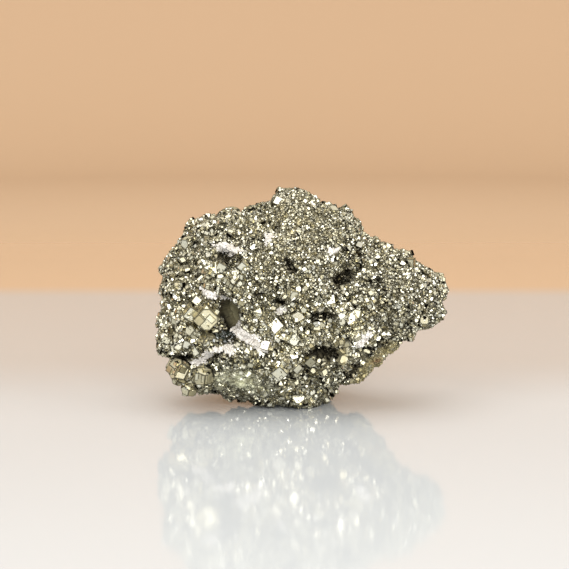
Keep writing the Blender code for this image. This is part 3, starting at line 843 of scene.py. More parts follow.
def spots_on(crystals, own, random):
    """Places on faces of these crystals' cubes, one for each number in own, with the axis of the face."""
    count = len(own)
    axis = random.integers(0, 3, count)
    spots = random.uniform(-SPOT_REACH, SPOT_REACH, (count, 3))
    out = random.choice([-1.0, 1.0], count) * random.uniform(*SPOT_OUT, count)
    more = np.where(crystals.shapes[own] == "pyritohedron", SPOT_OUT_MORE, 1.0)
    spots[np.arange(count), axis] = out * more
    offsets = np.einsum("nij,nj->ni", crystals.turns[own], spots * crystals.edges[own][:, None])
    return crystals.middles[own] + offsets, axis


def steps_on(crystals, random):
    """Flat blocks grown in line with their crystals, as steps on their faces, more of them on larger
    ones. Each is thin along its face's way out."""
    own = np.repeat(np.arange(len(crystals.edges)), (STEPS_ON * crystals.edges**2).astype(int))
    middles, axis = spots_on(crystals, own, random)
    stretches = random.uniform(*STEP_REACH, (len(own), 3))
    stretches[np.arange(len(own)), axis] = STEP_THICK
    group = crystals.where(own)
    shades = np.clip(group.shades + random.uniform(-STEP_SHADES, STEP_SHADES, len(own)), 0.0, 1.0)
    return group._replace(middles=middles, stretches=stretches, shades=shades,
                          shapes=np.full(len(own), "cube"))


def grains_on(crystals, random):
    """Small crystals in every position that grow on the faces of these crystals."""
    own = np.repeat(np.arange(len(crystals.edges)), (GRAINS_ON * crystals.edges**2).astype(int))
    middles, _ = spots_on(crystals, own, random)
    edges = random.uniform(*SMALL_EDGES, len(own))
    small = grown(middles, crystals.ways[own], edges, 0.0, SMALL_SHAPES, random)
    return small._replace(feet=crystals.feet[own])


def new_piece(name, points, corners, sizes, places, material):
    """An object from points in millimetres, the faces' corners as one run, each face's number of
    corners and each corner's place on the map that the bake uses."""
    mesh = bpy.data.meshes.new(name)
    mesh.vertices.add(len(points))
    mesh.vertices.foreach_set("co", (points * MM).astype(np.float32).ravel())
    mesh.loops.add(len(corners))
    mesh.loops.foreach_set("vertex_index", corners.astype(np.int32))
    mesh.polygons.add(len(sizes))
    mesh.polygons.foreach_set("loop_start", (np.cumsum(sizes) - sizes).astype(np.int32))
    mesh.update(calc_edges=True)
    mesh.uv_layers.new(name="OFBake").uv.foreach_set("vector", places.astype(np.float32).ravel())
    mesh.shade_flat()
    mesh.materials.append(material)
    made = bpy.data.objects.new(name, mesh)
    bpy.context.scene.collection.objects.link(made)
    return made


def add_values(piece, name, domain, values):
    """Gives the piece a number for each of its points or faces, which its material reads by name."""
    attribute = piece.data.attributes.new(name, "FLOAT", domain)
    attribute.data.foreach_set("value", values.astype(np.float32))


def add_stains(piece, domain, points, repeat=None):
    """Gives the piece its stains at these points. repeat says which point each face takes."""
    patches = np.clip(rounded_lumps(points, *STAIN_PATCHES) - STAIN_LEVEL, 0.0, 1.0)
    for name, zones, everywhere in (("tarnish", TARNISH_ZONES, TARNISH_EVERYWHERE),
                                    ("rust", RUST_ZONES, 0.0), ("bloom", BLOOM_ZONES, 0.0)):
        values = np.clip(zone_share(points, zones) + everywhere * patches, 0.0, MOST_STAIN)
        add_values(piece, name, domain, values if repeat is None else values[repeat])


def hollow_depth(points, names=None):
    """1 inside a hollow and on its wall, and 0 outside it, fading over the hollow's edge. names picks
    some of the hollows."""
    depth = np.zeros(len(points))
    for name, centre, half, turn in hollow_places():
        if names is None or name in names:
            own = np.linalg.norm((points - centre) @ turn / half, axis=1)
            depth = np.maximum(depth, 1.0 - smooth_step(own, *HOLLOW_EDGE))
    return depth


def crystals_piece(name, crystals, material, random):
    """One object of all these crystals: each is its shape's template, stretched, turned and moved to
    its place, and moved back where it would stand out of the solid's box. Each has a square of its own
    on the map and its shade. At each point it has the height over the surface, and at each face's
    corners the place round the face's middle."""
    side = math.ceil(math.sqrt(len(crystals.edges)))
    points, rises, corners, sizes, places, rims, shades, owners = [], [], [], [], [], [], [], []
    used = 0
    for shape in SHAPES:
        own = np.flatnonzero(crystals.shapes == shape)
        if not len(own):
            continue
        template = crystal_template(shape)
        group = crystals.where(own)
        scaled = template.points[None] * (group.stretches * group.edges[:, None])[:, None]
        placed = np.einsum("nij,nkj->nki", group.turns, scaled)
        placed += group.middles[:, None]
        placed -= box_overshoot(placed)[:, None]
        rise = ((placed - group.feet[:, None]) * group.ways[:, None]).sum(axis=2)
        # A large crystal stands clear of the ground, with less of it in the painted shade of the gaps
        rises.append((rise + LARGE_CLEAR * np.maximum(group.edges - 1.0, 0.0)[:, None]).ravel())
        first = used + np.arange(len(own)) * len(template.points)
        used += len(own) * len(template.points)
        square = np.stack([own % side, own // side], axis=1)
        points.append(placed.reshape(-1, 3))
        corners.append((first[:, None] + template.corners).ravel())
        sizes.append(np.tile(template.sizes, len(own)))
        inner = CRYSTAL_MARGIN + (1.0 - 2.0 * CRYSTAL_MARGIN) * template.places
        places.append(((square[:, None] + inner) / side).reshape(-1, 2))
        rim = np.tile(template.rims, (len(own), 1, 1))
        rim[:, :, 2] *= (group.edges * group.stretches.mean(axis=1))[:, None]
        rims.append(rim.reshape(-1, 3))
        large = smooth_step(group.edges, *FINE_TO_LARGE)[:, None]
        vary = FINE_FACES_VARY + (FACES_VARY - FINE_FACES_VARY) * large
        drift = random.uniform(-1.0, 1.0, (len(own), template.faces[-1] + 1))
        tones = group.shades[:, None] + vary * drift
        shades.append(np.clip(tones[:, template.faces], 0.0, 1.0).ravel())
        owners.append(np.repeat(own, len(template.sizes)))
    owners = np.concatenate(owners)
    piece = new_piece(name, np.concatenate(points), np.concatenate(corners), np.concatenate(sizes),
                      np.concatenate(places), material)
    rim = piece.data.attributes.new("rim", "FLOAT_VECTOR", "CORNER")
    rim.data.foreach_set("vector", np.concatenate(rims).astype(np.float32).ravel())
    # The height over the ground, which sets the painted shade of the gaps
    add_values(piece, "rise", "POINT", np.concatenate(rises))
    add_values(piece, "shade", "FACE", np.concatenate(shades))
    add_stains(piece, "FACE", crystals.feet, owners)
    # The hollows' painted shade
    add_values(piece, "hollow", "FACE", hollow_depth(crystals.feet)[owners])
    return piece


def patch_places():
    """The sheets of quartz, those on the front moved to where the front view shows them."""
    for side, x, z, *rest in QUARTZ_PATCHES:
        if side < 0.0:
            x, z = seen_place(x, z)
        yield (side, x, z, *rest)


def quartz_patch(side, x, z, length, width, turn, thick, salt, sunk, relief):
    """A sheet of sugary quartz on the mass: points on rings and spokes, out from the middle over the
    top and back underneath. Its height over the mass is thick times the sine of the ring's angle,
    with grains on it, and its edge wanders."""
    rise = np.linspace(math.pi / 2.0, -math.pi / 2.0, PATCH_RINGS + 1)[:, None]
    spin = np.linspace(0.0, math.tau, PATCH_SPOKES, endpoint=False)[None, :]
    slow, slow_waves = SLOW_WANDER
    quick, quick_waves = QUICK_WANDER
    wander = 1.0 + slow * np.sin(slow_waves * spin + salt) + quick * np.sin(quick_waves * spin + 2.0 * salt)
    reach = np.cos(rise) * wander
    along, across = reach * np.cos(spin) * length, reach * np.sin(spin) * width
    angle = math.radians(turn)
    flat_x = x + along * math.cos(angle) + across * math.sin(angle)
    flat_z = z - along * math.sin(angle) + across * math.cos(angle)
    spots, way, _ = mass_surface(face_directions(flat_x.ravel(), flat_z.ravel(), side), sunk, relief)
    height = thick * np.sin(rise) * np.ones_like(spin)
    spacing, first_salt = QUARTZ_GRAINS
    grains = rounded_lumps(spots, spacing, first_salt + salt) - 0.5
    lift = height.ravel() + QUARTZ_RELIEF * grains * (height.ravel() > 0.0)
    points = spots + way * lift[:, None]
    ring = np.arange(PATCH_RINGS)[:, None] * PATCH_SPOKES
    spoke = np.arange(PATCH_SPOKES)[None, :]
    after = (spoke + 1) % PATCH_SPOKES
    quads = np.stack([ring + spoke, ring + PATCH_SPOKES + spoke,
                      ring + PATCH_SPOKES + after, ring + after], axis=-1).reshape(-1, 4)
    if side > 0.0:
        quads = quads[:, ::-1]
    return points, quads


def on_patch(points, reach):
    """Whether each point stands on a sheet of quartz, within this share of the sheet's half sizes."""
    covered = np.zeros(len(points), bool)
    for side, x, z, length, width, turn, _ in patch_places():
        angle = math.radians(turn)
        right, up = points[:, 0] - x, points[:, 2] - z
        along = (right * math.cos(angle) - up * math.sin(angle)) / length
        across = (right * math.sin(angle) + up * math.cos(angle)) / width
        covered |= (along**2 + across**2 < reach**2) & (points[:, 1] * side > 0.0)
    return covered


# Materials


def link_or_set(tree, socket, value):
    """Links an output to the socket, or sets the socket to a value."""
    if isinstance(value, bpy.types.NodeSocket):
        tree.links.new(value, socket)
    else:
        socket.default_value = value


def add_node(tree, kind, settings=None, inputs=None):
    """A new node with these settings. Each input is a value, or an output to link from."""
    made = tree.nodes.new(kind)
    for name, value in (settings or {}).items():
        setattr(made, name, value)
    for name, value in (inputs or {}).items():
        link_or_set(tree, made.inputs[name], value)
    return made


def mixed_colour(tree, share, first, second):
    """The output of a node that mixes two colours, each an output or a colour of four numbers."""
    made = add_node(tree, "ShaderNodeMix", {"data_type": "RGBA"})
    colours = [socket for socket in made.inputs if socket.type == "RGBA"]
    for socket, value in zip((made.inputs[0], *colours), (share, first, second)):
        link_or_set(tree, socket, value)
    return next(socket for socket in made.outputs if socket.type == "RGBA")


def worked_out(tree, operation, *values, clamp=False):
    """The output of a Math node on these values, each an output or a number."""
    made = add_node(tree, "ShaderNodeMath", {"operation": operation, "use_clamp": clamp})
    for socket, value in zip(made.inputs, values):
        link_or_set(tree, socket, value)
    return made.outputs[0]


def ramp(tree, value, start, end, low=0.0, high=1.0, kind="LINEAR"):
    """The output of a node that turns the value into low at start and high at end."""
    return add_node(tree, "ShaderNodeMapRange", {"interpolation_type": kind},
                    {"Value": value, "From Min": start, "From Max": end, "To Min": low,
                     "To Max": high}).outputs[0]


def object_place(tree):
    """The place on the piece, in metres."""
    return add_node(tree, "ShaderNodeTexCoord").outputs["Object"]


def cloudy(tree, scale, detail, start, end):
    """A mask of soft clouds: noise of this scale per metre, turned into 0 at start and 1 at end."""
    noise = add_node(tree, "ShaderNodeTexNoise", None,
                     {"Vector": object_place(tree), "Scale": scale, "Detail": detail})
    return ramp(tree, noise.outputs["Fac"], start, end)


def new_material(name, values):
    """A material with these values on its shader, and its node tree and shader."""
    material = bpy.data.materials.new(name)
    material.use_nodes = True
    shader = material.node_tree.nodes["Principled BSDF"]
    for label, value in values.items():
        shader.inputs[label].default_value = value
    return material, material.node_tree, shader


def attribute(tree, name):
    """The number that the piece holds under this name."""
    return add_node(tree, "ShaderNodeAttribute", {"attribute_name": name}).outputs["Fac"]


def new_group(name, inputs, outputs):
    """A shader node group with these sockets, and its input and output nodes."""
    tree = bpy.data.node_groups.new(name, "ShaderNodeTree")
    for in_out, sockets in (("INPUT", inputs), ("OUTPUT", outputs)):
        for label, kind in sockets:
            tree.interface.new_socket(label, in_out=in_out, socket_type=kind)
    return tree, tree.nodes.new("NodeGroupInput"), tree.nodes.new("NodeGroupOutput")


def tarnish_and_hollow_shade_group():
    """What age does to pyrite: khaki tarnish, red-brown rust and a greenish bloom, each a mask broken up
    by noise, and painted shade in the hollows. Puts out the colour and how much duller it makes the metal."""
    colour, number = "NodeSocketColor", "NodeSocketFloat"
    tree, given, out = new_group(
        "pyrite_tarnish_and_hollow_shade",
        [("Metal", colour), ("Tarnish Colour", colour), ("Rust Colour", colour),
         ("Bloom Colour", colour), ("Depth Colour", colour), ("Tarnish", number), ("Rust", number),
         ("Bloom", number), ("Hollow", number), ("Break Up", number)],
        [("Color", colour), ("Dullness", number)],
    )
    broken = cloudy(tree, given.outputs["Break Up"], 3.0, 0.36, 0.64)
    shown = given.outputs["Metal"]
    dullness = None
    for name, colour_name in (("Tarnish", "Tarnish Colour"), ("Rust", "Rust Colour"),
                              ("Bloom", "Bloom Colour")):
        mask = worked_out(tree, "MULTIPLY", given.outputs[name], broken)
        shown = mixed_colour(tree, mask, shown, given.outputs[colour_name])
        dullness = mask if dullness is None else worked_out(tree, "ADD", dullness, mask, clamp=True)
    # Painted shade in the hollows, from the Depth Colour
    deep = worked_out(tree, "MULTIPLY", given.outputs["Hollow"], HOLLOW_SHADE)
    shown = mixed_colour(tree, deep, shown, given.outputs["Depth Colour"])
    tree.links.new(shown, out.inputs["Color"])
    tree.links.new(dullness, out.inputs["Dullness"])
    return tree


def unshaded_share_group():
    """How far a crystal is out of the painted shade: 0 in the painted shade between crystals and along
    their edges, and 1 on open faces. It is the product of two ramps, over the height above the ground
    and over the distance from the face's own edges. That distance is their reach times 1 less the larger
    of the two rim coordinates, and the second ramp is Rim Width long plus Rim Growth times the reach."""
    number = "NodeSocketFloat"
    tree, given, out = new_group(
        "unshaded_share",
        [("Rise", number), ("Rim", "NodeSocketVector"), ("Gap Shade Depth", number), ("Clear Height", number),
         ("Rim Width", number), ("Rim Growth", number)],
        [("Clean", number)],
    )
    high = ramp(tree, given.outputs["Rise"], given.outputs["Gap Shade Depth"], given.outputs["Clear Height"])
    rim = add_node(tree, "ShaderNodeVectorMath", {"operation": "ABSOLUTE"}, {0: given.outputs["Rim"]})
    rim = add_node(tree, "ShaderNodeSeparateXYZ", None, {"Vector": rim.outputs[0]}).outputs
    larger = worked_out(tree, "MAXIMUM", rim["X"], rim["Y"])
    inside = worked_out(tree, "MULTIPLY", worked_out(tree, "SUBTRACT", 1.0, larger), rim["Z"])
    width = worked_out(tree, "MULTIPLY_ADD", rim["Z"], given.outputs["Rim Growth"],
                       given.outputs["Rim Width"])
    open_face = ramp(tree, inside, 0.0, width)
    # Clean is 1 out of the painted shade and 0 in it
    tree.links.new(worked_out(tree, "MULTIPLY", high, open_face), out.inputs["Clean"])
    return tree


def aged(tree, settings, group, metal):
    """The tarnish and hollow shade group on this metal, with the piece's own stains and its painted shade
    in the hollows.
    """
    colours = {f"{name.capitalize()} Colour": tuple(getattr(settings, name))
               for name in ("tarnish", "rust", "bloom", "depth")}
    masks = {name.capitalize(): attribute(tree, name) for name in ("tarnish", "rust", "bloom", "hollow")}
    return add_node(tree, "ShaderNodeGroup", {"node_tree": group},
                    {"Metal": metal, **colours, **masks, "Break Up": settings.break_up})


def crystal_material(settings, group):
    """Brassy metal whose shade and polish change from crystal to crystal, with painted shade between the
    crystals and along their edges, and aged by the tarnish group, which also paints shade in the hollows."""
    material, tree, shader = new_material("pyrite_crystals", {"Specular Tint": EDGE_TINT})
    shade = attribute(tree, "shade")
    metal = add_node(tree, "ShaderNodeValToRGB", None, {"Fac": shade})
    metal.color_ramp.elements[0].color = settings.dull
    metal.color_ramp.elements[1].color = settings.bright
    metal.color_ramp.elements.new(MIDDLE_SHADE).color = settings.middle
    old = aged(tree, settings, group, metal.outputs["Color"])
    rim = add_node(tree, "ShaderNodeAttribute", {"attribute_name": "rim"}).outputs["Vector"]
    unshaded = add_node(tree, "ShaderNodeGroup", {"node_tree": unshaded_share_group()},
                     {"Rise": attribute(tree, "rise"), "Rim": rim, "Gap Shade Depth": -settings.gap_shade_depth / MM,
                      "Clear Height": settings.clear_height / MM, "Rim Width": settings.rim_width / MM,
                      "Rim Growth": settings.rim_growth}).outputs[0]
    # Bloom and thick tarnish lie over the painted shade of the gaps too
    thick = worked_out(tree, "SUBTRACT", attribute(tree, "tarnish"), 1.0, clamp=True)
    thick = worked_out(tree, "ADD", thick, attribute(tree, "bloom"))
    filmed = worked_out(tree, "MULTIPLY", thick, FILM_COVER, clamp=True)
    shown = worked_out(tree, "MAXIMUM", unshaded, filmed)
    # The near-black gap colour is painted shade, between the crystals and along their edges
    colour = mixed_colour(tree, shown, tuple(settings.gap), old.outputs["Color"])
    tree.links.new(colour, shader.inputs["Base Color"])
    smoothest, roughest = settings.polish
    polish = ramp(tree, shade, 0.0, 1.0, roughest, smoothest)
    dull = worked_out(tree, "MULTIPLY", old.outputs["Dullness"], STAIN_ROUGHNESS)
    rough = worked_out(tree, "ADD", polish, dull)
    # The metal is rougher where the painted shade of the gaps lies
    dirty = worked_out(tree, "MULTIPLY", worked_out(tree, "SUBTRACT", 1.0, unshaded), GAP_ROUGHNESS)
    tree.links.new(worked_out(tree, "ADD", rough, dirty, clamp=True), shader.inputs["Roughness"])
    film = worked_out(tree, "MULTIPLY", old.outputs["Dullness"], STAIN_COVER)
    tree.links.new(worked_out(tree, "SUBTRACT", 1.0, film), shader.inputs["Metallic"])
    return material


def mass_material(settings, group):
    """The dark ground that shows between the crystals, mostly the painted shade of the gaps, whose small
    faces differ in shade, and a smooth olive wall that isn't metal in the large hollow, with painted shade
    along its mouth."""
    material, tree, shader = new_material("pyrite_mass", {"Specular Tint": EDGE_TINT})
    shade = attribute(tree, "shade")
    # Most faces take the near-black gap colour, painted shade; the rest dull metal
    ground = mixed_colour(tree, worked_out(tree, "POWER", shade, MASS_CONTRAST),
                          tuple(settings.gap), tuple(settings.dull))
    old = aged(tree, settings, group, ground)
    wall = attribute(tree, "wall")
    spots = cloudy(tree, 700.0, 3.0, 0.38, 0.62)
    bare = mixed_colour(tree, spots, tuple(settings.wall_dark), tuple(settings.wall))
    # The wall comes out of painted shade along the hollow's mouth
    past_mouth = ramp(tree, attribute(tree, "depth"), *WALL_LIT)
    bare = mixed_colour(tree, past_mouth, tuple(settings.gap), bare)
    colour = mixed_colour(tree, wall, old.outputs["Color"], bare)
    tree.links.new(colour, shader.inputs["Base Color"])
    tree.links.new(ramp(tree, shade, 0.0, 1.0, *MASS_ROUGHNESS), shader.inputs["Roughness"])
    tree.links.new(ramp(tree, wall, 0.0, 1.0, MASS_METAL, 0.0), shader.inputs["Metallic"])
    return material


def glassy_material():
    """Small dark green-black glassy crystals."""
    material, tree, shader = new_material("glassy_crystals", {"Roughness": 0.08, "IOR": 2.1})
    colour = mixed_colour(tree, attribute(tree, "shade"), GLASSY_DARK, GLASSY_PALE)
    tree.links.new(colour, shader.inputs["Base Color"])
    return material


def quartz_material(settings):
    """Sugary white quartz with a greyer, dirtier tone in places and fine grains."""
    material, tree, shader = new_material("white_quartz", {
        "Roughness": 0.42, "Subsurface Weight": 0.25, "Subsurface Scale": 1.0,
        "Subsurface Radius": (0.0012, 0.0011, 0.001)})
    dust = cloudy(tree, 420.0, 4.0, 0.4, 0.68)
    colour = mixed_colour(tree, dust, tuple(settings.white), tuple(settings.dirty))
    tree.links.new(colour, shader.inputs["Base Color"])
    grains = add_node(tree, "ShaderNodeTexVoronoi", None,
                      {"Vector": object_place(tree), "Scale": SUGAR_SCALE})
    bump = add_node(tree, "ShaderNodeBump", None,
                    {"Height": grains.outputs["Distance"], "Strength": 0.5, "Distance": SUGAR_HEIGHT})
    tree.links.new(bump.outputs["Normal"], shader.inputs["Normal"])
    return material


def sweep_material(settings):
    """The stage: a glossy white table, warmer behind the lump, that fades into a matt, warm backdrop."""
    material, tree, shader = new_material("stage_sweep", {"IOR": 1.4})
    along = add_node(tree, "ShaderNodeSeparateXYZ", None, {"Vector": object_place(tree)}).outputs["Y"]
    colour = tuple(settings.table)
    for start, end, next_colour in (
        (settings.warm_start, settings.warm_end, settings.table_far),
        (settings.fade_start, settings.fade_end, settings.backdrop),
    ):
        fade = ramp(tree, along, start, end, kind="SMOOTHSTEP")
        colour = mixed_colour(tree, fade, colour, tuple(next_colour))
    tree.links.new(colour, shader.inputs["Base Color"])
    rough = ramp(tree, along, settings.fade_end, settings.matt_start, *SHINE_TO_MATT, "SMOOTHSTEP")
    tree.links.new(rough, shader.inputs["Roughness"])
    return material


# Settings


def length(name, description, default):
    """A property that holds a length in the scene's metres."""
    return bpy.props.FloatProperty(name=name, description=description, default=default, min=0.0,
                                   precision=5, subtype="DISTANCE", unit="LENGTH")


def colour(name, description, default):
    """A property that holds an opaque colour."""
    return bpy.props.FloatVectorProperty(name=name, description=description, default=(*default, 1.0),
                                         size=4, min=0.0, max=1.0, subtype="COLOR")


def number(name, description, default, least=0.0, **more):
    """A property that holds a number."""
    return bpy.props.FloatProperty(name=name, description=description, default=default, min=least, **more)


class PYRITE_PG_mass(bpy.types.PropertyGroup):
    """Sizes of the mass that the crystals grow on."""

    cells: bpy.props.IntProperty(
        name="Cells", description="Grid cells along each side of the six patches", default=90, min=16)
    sunk: length("Sunk", "How far the mass lies inside the solid, so that crystals reach it", 0.00070)
    relief: length("Relief", "Height of the small grains on the mass", 0.0003)


class PYRITE_PG_crystals(bpy.types.PropertyGroup):
    """Sizes of the crystals, and the number that picks their pattern."""

    fine: length("Fine spacing", "Distance between the fine crystals on the front", 0.00043)
    fine_back: length("Fine spacing at the back", "The same on the back, which has coarser grains", 0.00058)
    medium: length("Medium spacing", "Distance between medium crystals where there are many", 0.00200)
    coarse: length("Coarse spacing", "Distance between coarse crystals where there are many", 0.00330)
    flecks: length("Fleck spacing", "Distance between the larger crystals strewn everywhere", 0.00560)
    samples: bpy.props.IntProperty(
        name="Samples", description="Points tried on the surface", default=800000, min=1000)
    seed: bpy.props.IntProperty(name="Seed", description="Picks the random pattern", default=7, min=0)


class PYRITE_PG_colours(bpy.types.PropertyGroup):
    """Colours of the pyrite and the quartz."""

    bright: colour("Bright", "Metal of the freshest crystals", (0.85, 0.83, 0.71))
    middle: colour("Middle", "Metal of most crystals", (0.77, 0.735, 0.56))
    dull: colour("Dull", "Metal of the dullest crystals", (0.23, 0.205, 0.125))
    # Painted shade: the near-black colour of the gaps between the crystals, of most of the ground and of
    # the large hollow's mouth
    gap: colour("Gap", "The dark between the crystals", (0.004, 0.003, 0.002))
    wall: colour("Wall", "The smooth wall of the large hollow", (0.30, 0.275, 0.17))
    wall_dark: colour("Dark wall", "Dark spots on that wall", (0.15, 0.135, 0.08))
    tarnish: colour("Tarnish", "Khaki film on old faces", (0.58, 0.50, 0.27))
    rust: colour("Rust", "Red-brown iron stain", (0.20, 0.06, 0.03))
    bloom: colour("Bloom", "Pale greenish film", (0.84, 0.84, 0.61))
    # Painted shade: the dark that crystals and ground take deep in the hollows
    depth: colour("Depth", "Tone of the crystals deep in the hollows", (0.10, 0.085, 0.055))
    white: colour("White quartz", "Clean quartz", (0.72, 0.68, 0.63))
    dirty: colour("Dirty quartz", "Quartz with dust between its grains", (0.50, 0.46, 0.40))
    polish: bpy.props.FloatVectorProperty(
        name="Polish", description="Roughness of the smoothest and the roughest crystals",
        default=(0.09, 0.32), size=2, min=0.0, max=1.0)
    # Where the painted shade of the gaps lies: how deep it is darkest, the height at which it ends, and the
    # width of its line along the crystals' edges
    gap_shade_depth: length("Gap depth", "How far below the surface the gaps are at their darkest", 0.00012)
    clear_height: length("Clear height", "Height over the surface at which crystals are clean", 0.00024)
    rim_width: length("Rim width", "Least width of the dark line along a crystal's edges", 0.00012)
    rim_growth: number("Rim growth", "What that line gains with a face's size, as a share of it", 0.12)
    break_up: number("Break up", "Scale of the noise that breaks up the stains, per metre", 500.0)


class PYRITE_PG_stage(bpy.types.PropertyGroup):
    """The table, the backdrop, the lights and the camera."""

    table: colour("Table", "The white table", (0.445, 0.46, 0.47))
    table_far: colour("Far table", "The table behind the lump", (0.40, 0.385, 0.37))
    backdrop: colour("Backdrop", "The peach backdrop", (0.49, 0.335, 0.21))
    warm_start: length("Warm start", "How far behind the lump the table starts to look warmer", 0.0)
    warm_end: length("Warm end", "How far behind the lump the far table's own colour starts", 0.06)
    fade_start: length("Fade start", "How far behind the lump the table starts to fade", 0.162)
    fade_end: length("Fade end", "How far behind the lump the backdrop's own colour starts", 0.192)
    matt_start: length("Matt start", "How far behind the lump the backdrop no longer shines", 0.5)
    light_power: number("Light power", "Power that each softbox takes its share of", 12.8, unit="POWER")
    room_light: number("Room light", "Strength of the even light", 0.84)
    distance: length("Camera distance", "From the camera to the point that it looks at", 0.42)
    elevation: number("Elevation", "How far the camera looks down", math.radians(8.0),
                      subtype="ANGLE", unit="ROTATION")
    lens: number("Lens", "Focal length in millimetres", 119.0, least=1.0)


# Operators


class PYRITE_OT_mass(bpy.types.Operator):
    """Makes the rough mass that the crystals grow on, in place of the solid"""

    bl_idname = "pyrite.mass"
    bl_label = "Mass"

    def execute(self, context):
        sizes = context.scene.pyrite_mass
        directions, quads, places = cube_sphere(sizes.cells)
        points, _, depth = mass_surface(directions, sizes.sunk / MM, sizes.relief / MM)
        piece = new_piece("pyrite_mass", points, quads.ravel(), np.full(len(quads), 4), places,
                          mass_material(context.scene.pyrite_colours, tarnish_and_hollow_shade_group()))
        random = np.random.default_rng(context.scene.pyrite_crystals.seed)
        add_values(piece, "shade", "FACE", random.random(len(quads)))
        add_stains(piece, "POINT", points)
        # The hollows' painted shade
        add_values(piece, "hollow", "POINT", hollow_depth(points))
        add_values(piece, "wall", "POINT", hollow_depth(points, SMOOTH_HOLLOWS))
        add_values(piece, "depth", "POINT", depth)
        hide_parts(SOLID)
        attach(piece, BODY)
        return {"FINISHED"}


def mass_samples(scene, random):
    """Points all over the finished mass and the way out of it at each, in millimetres."""
    mesh = bpy.data.objects["pyrite_mass"].data
    points = np.empty(len(mesh.vertices) * 3, np.float32)
    mesh.vertices.foreach_get("co", points)
    corners = np.empty(len(mesh.loops), np.int32)
    mesh.loops.foreach_get("vertex_index", corners)
    points = points.reshape(-1, 3).astype(float) / MM
    return surface_samples(points, corners.reshape(-1, 4), scene.pyrite_crystals.samples, random)


class PYRITE_OT_fine_crystals(bpy.types.Operator):
    """Grows the fine crystals all over the mass, in four pieces"""

    bl_idname = "pyrite.fine_crystals"
    bl_label = "Fine crystals"

    def execute(self, context):
        sizes = context.scene.pyrite_crystals
        random = np.random.default_rng(sizes.seed + 1)
        points, ways = mass_samples(context.scene, random)
        # None under the flat foot
        open_spot = (points[:, 2] > 0.05) | (ways[:, 2] > -0.9)
        ragged = rounded_lumps(points, *QUARTZ_RIMS)
        open_spot &= ~on_patch(points, QUARTZ_BARE + QUARTZ_RAGGED * ragged)
        open_spot &= random.random(len(points)) > hollow_depth(points, SMOOTH_HOLLOWS)
        open_spot &= random.random(len(points)) > HOLLOW_BARE * hollow_depth(points)
        points, ways = points[open_spot], ways[open_spot]
        front = points[:, 1] < FINE_FRONT
        groups = []
        for own, spacing in ((front, sizes.fine), (~front, sizes.fine_back)):
            own = np.flatnonzero(own)
            own = own[one_per_cell(points[own], spacing / MM, FINE_SALT)]
            edges = spacing / MM * random.lognormal(*FINE_SPREAD, len(own))
            edges *= FINE_SIZE + COARSE_SIZE * coarseness(points[own])
            groups.append(grown(points[own], ways[own], np.clip(edges, *FINE_EDGES), 0.0,
                                {"cube": 1.0}, random))
        crystals = joined_crystals(groups)
        material = crystal_material(context.scene.pyrite_colours, bpy.data.node_groups["pyrite_tarnish_and_hollow_shade"])
        front, right = crystals.feet[:, 1] < 0.0, crystals.feet[:, 0] > FINE_SPLIT
        for name, own in (
            ("fine_crystals_front_left", front & ~right),
            ("fine_crystals_front_right", front & right),
            ("fine_crystals_back_left", ~front & ~right),
            ("fine_crystals_back_right", ~front & right),
        ):
            piece = crystals_piece(name, crystals.where(own), material, random)
            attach(piece, BODY)
        return {"FINISHED"}


class PYRITE_OT_large_crystals(bpy.types.Operator):
    """Grows the solid's large crystals, and medium and coarse ones where the grains are coarser"""

    bl_idname = "pyrite.large_crystals"
    bl_label = "Large crystals"

    def execute(self, context):
        sizes = context.scene.pyrite_crystals
        random = np.random.default_rng(sizes.seed + 2)
        points, ways = mass_samples(context.scene, random)
        open_spot = points[:, 2] > STREWN_LOWEST
        open_spot &= ~on_patch(points, 1.0) & (hollow_depth(points) < 0.5)
        points, ways = points[open_spot], ways[open_spot]
        grade = coarseness(points)
        large = solid_crystals()
        groups = [large, steps_on(large, random), grains_on(large, random)]
        for kind, least, low, high, mix in STREWN:
            own = np.flatnonzero(grade > least)
            own = own[one_per_cell(points[own], getattr(sizes, kind) / MM, LARGE_SALT)]
            edges = random.uniform(low, high, len(own))
            groups.append(grown(points[own], ways[own], edges, STREWN_SUNK, mix, random))
        piece = crystals_piece("large_crystals", joined_crystals(groups),
                               bpy.data.materials["pyrite_crystals"], random)
        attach(piece, BODY)
        return {"FINISHED"}


class PYRITE_OT_quartz(bpy.types.Operator):
    """Grows the white quartz between the crystals, with grains of its own on it"""

    bl_idname = "pyrite.quartz"
    bl_label = "Quartz"

    def execute(self, context):
        scene = context.scene
        mass = scene.pyrite_mass
        points, quads, used = [], [], 0
        for salt, patch in enumerate(patch_places()):
            spots, faces = quartz_patch(*patch, salt, mass.sunk / MM, mass.relief / MM)
            points.append(spots - box_overshoot(spots))
            quads.append(faces + used)
            used += len(spots)
        points, quads = np.concatenate(points), np.concatenate(quads)
        side = math.ceil(math.sqrt(len(quads)))
        square = np.stack([np.arange(len(quads)) % side, np.arange(len(quads)) // side], axis=1)
        low, high = QUAD_MARGIN, 1.0 - QUAD_MARGIN
        corner = np.array([(low, low), (high, low), (high, high), (low, high)])
        places = ((square[:, None] + corner) / side).reshape(-1, 2)
        material = quartz_material(scene.pyrite_colours)
        sheet = new_piece("white_quartz", points, quads.ravel(), np.full(len(quads), 4), places, material)
        random = np.random.default_rng(scene.pyrite_crystals.seed + 3)
        spots, ways = surface_samples(points, quads, QUARTZ_TRIES, random)
        chosen = one_per_cell(spots, QUARTZ_SPACING, QUARTZ_SALT)
        edges = random.uniform(*QUARTZ_EDGES, len(chosen))
        crystals = grown(spots[chosen], ways[chosen], edges, STREWN_SUNK, QUARTZ_SHAPES, random)
        grains = crystals_piece("quartz_grains", crystals, material, random)
        for piece in (sheet, grains):
            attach(piece, BODY)
        return {"FINISHED"}


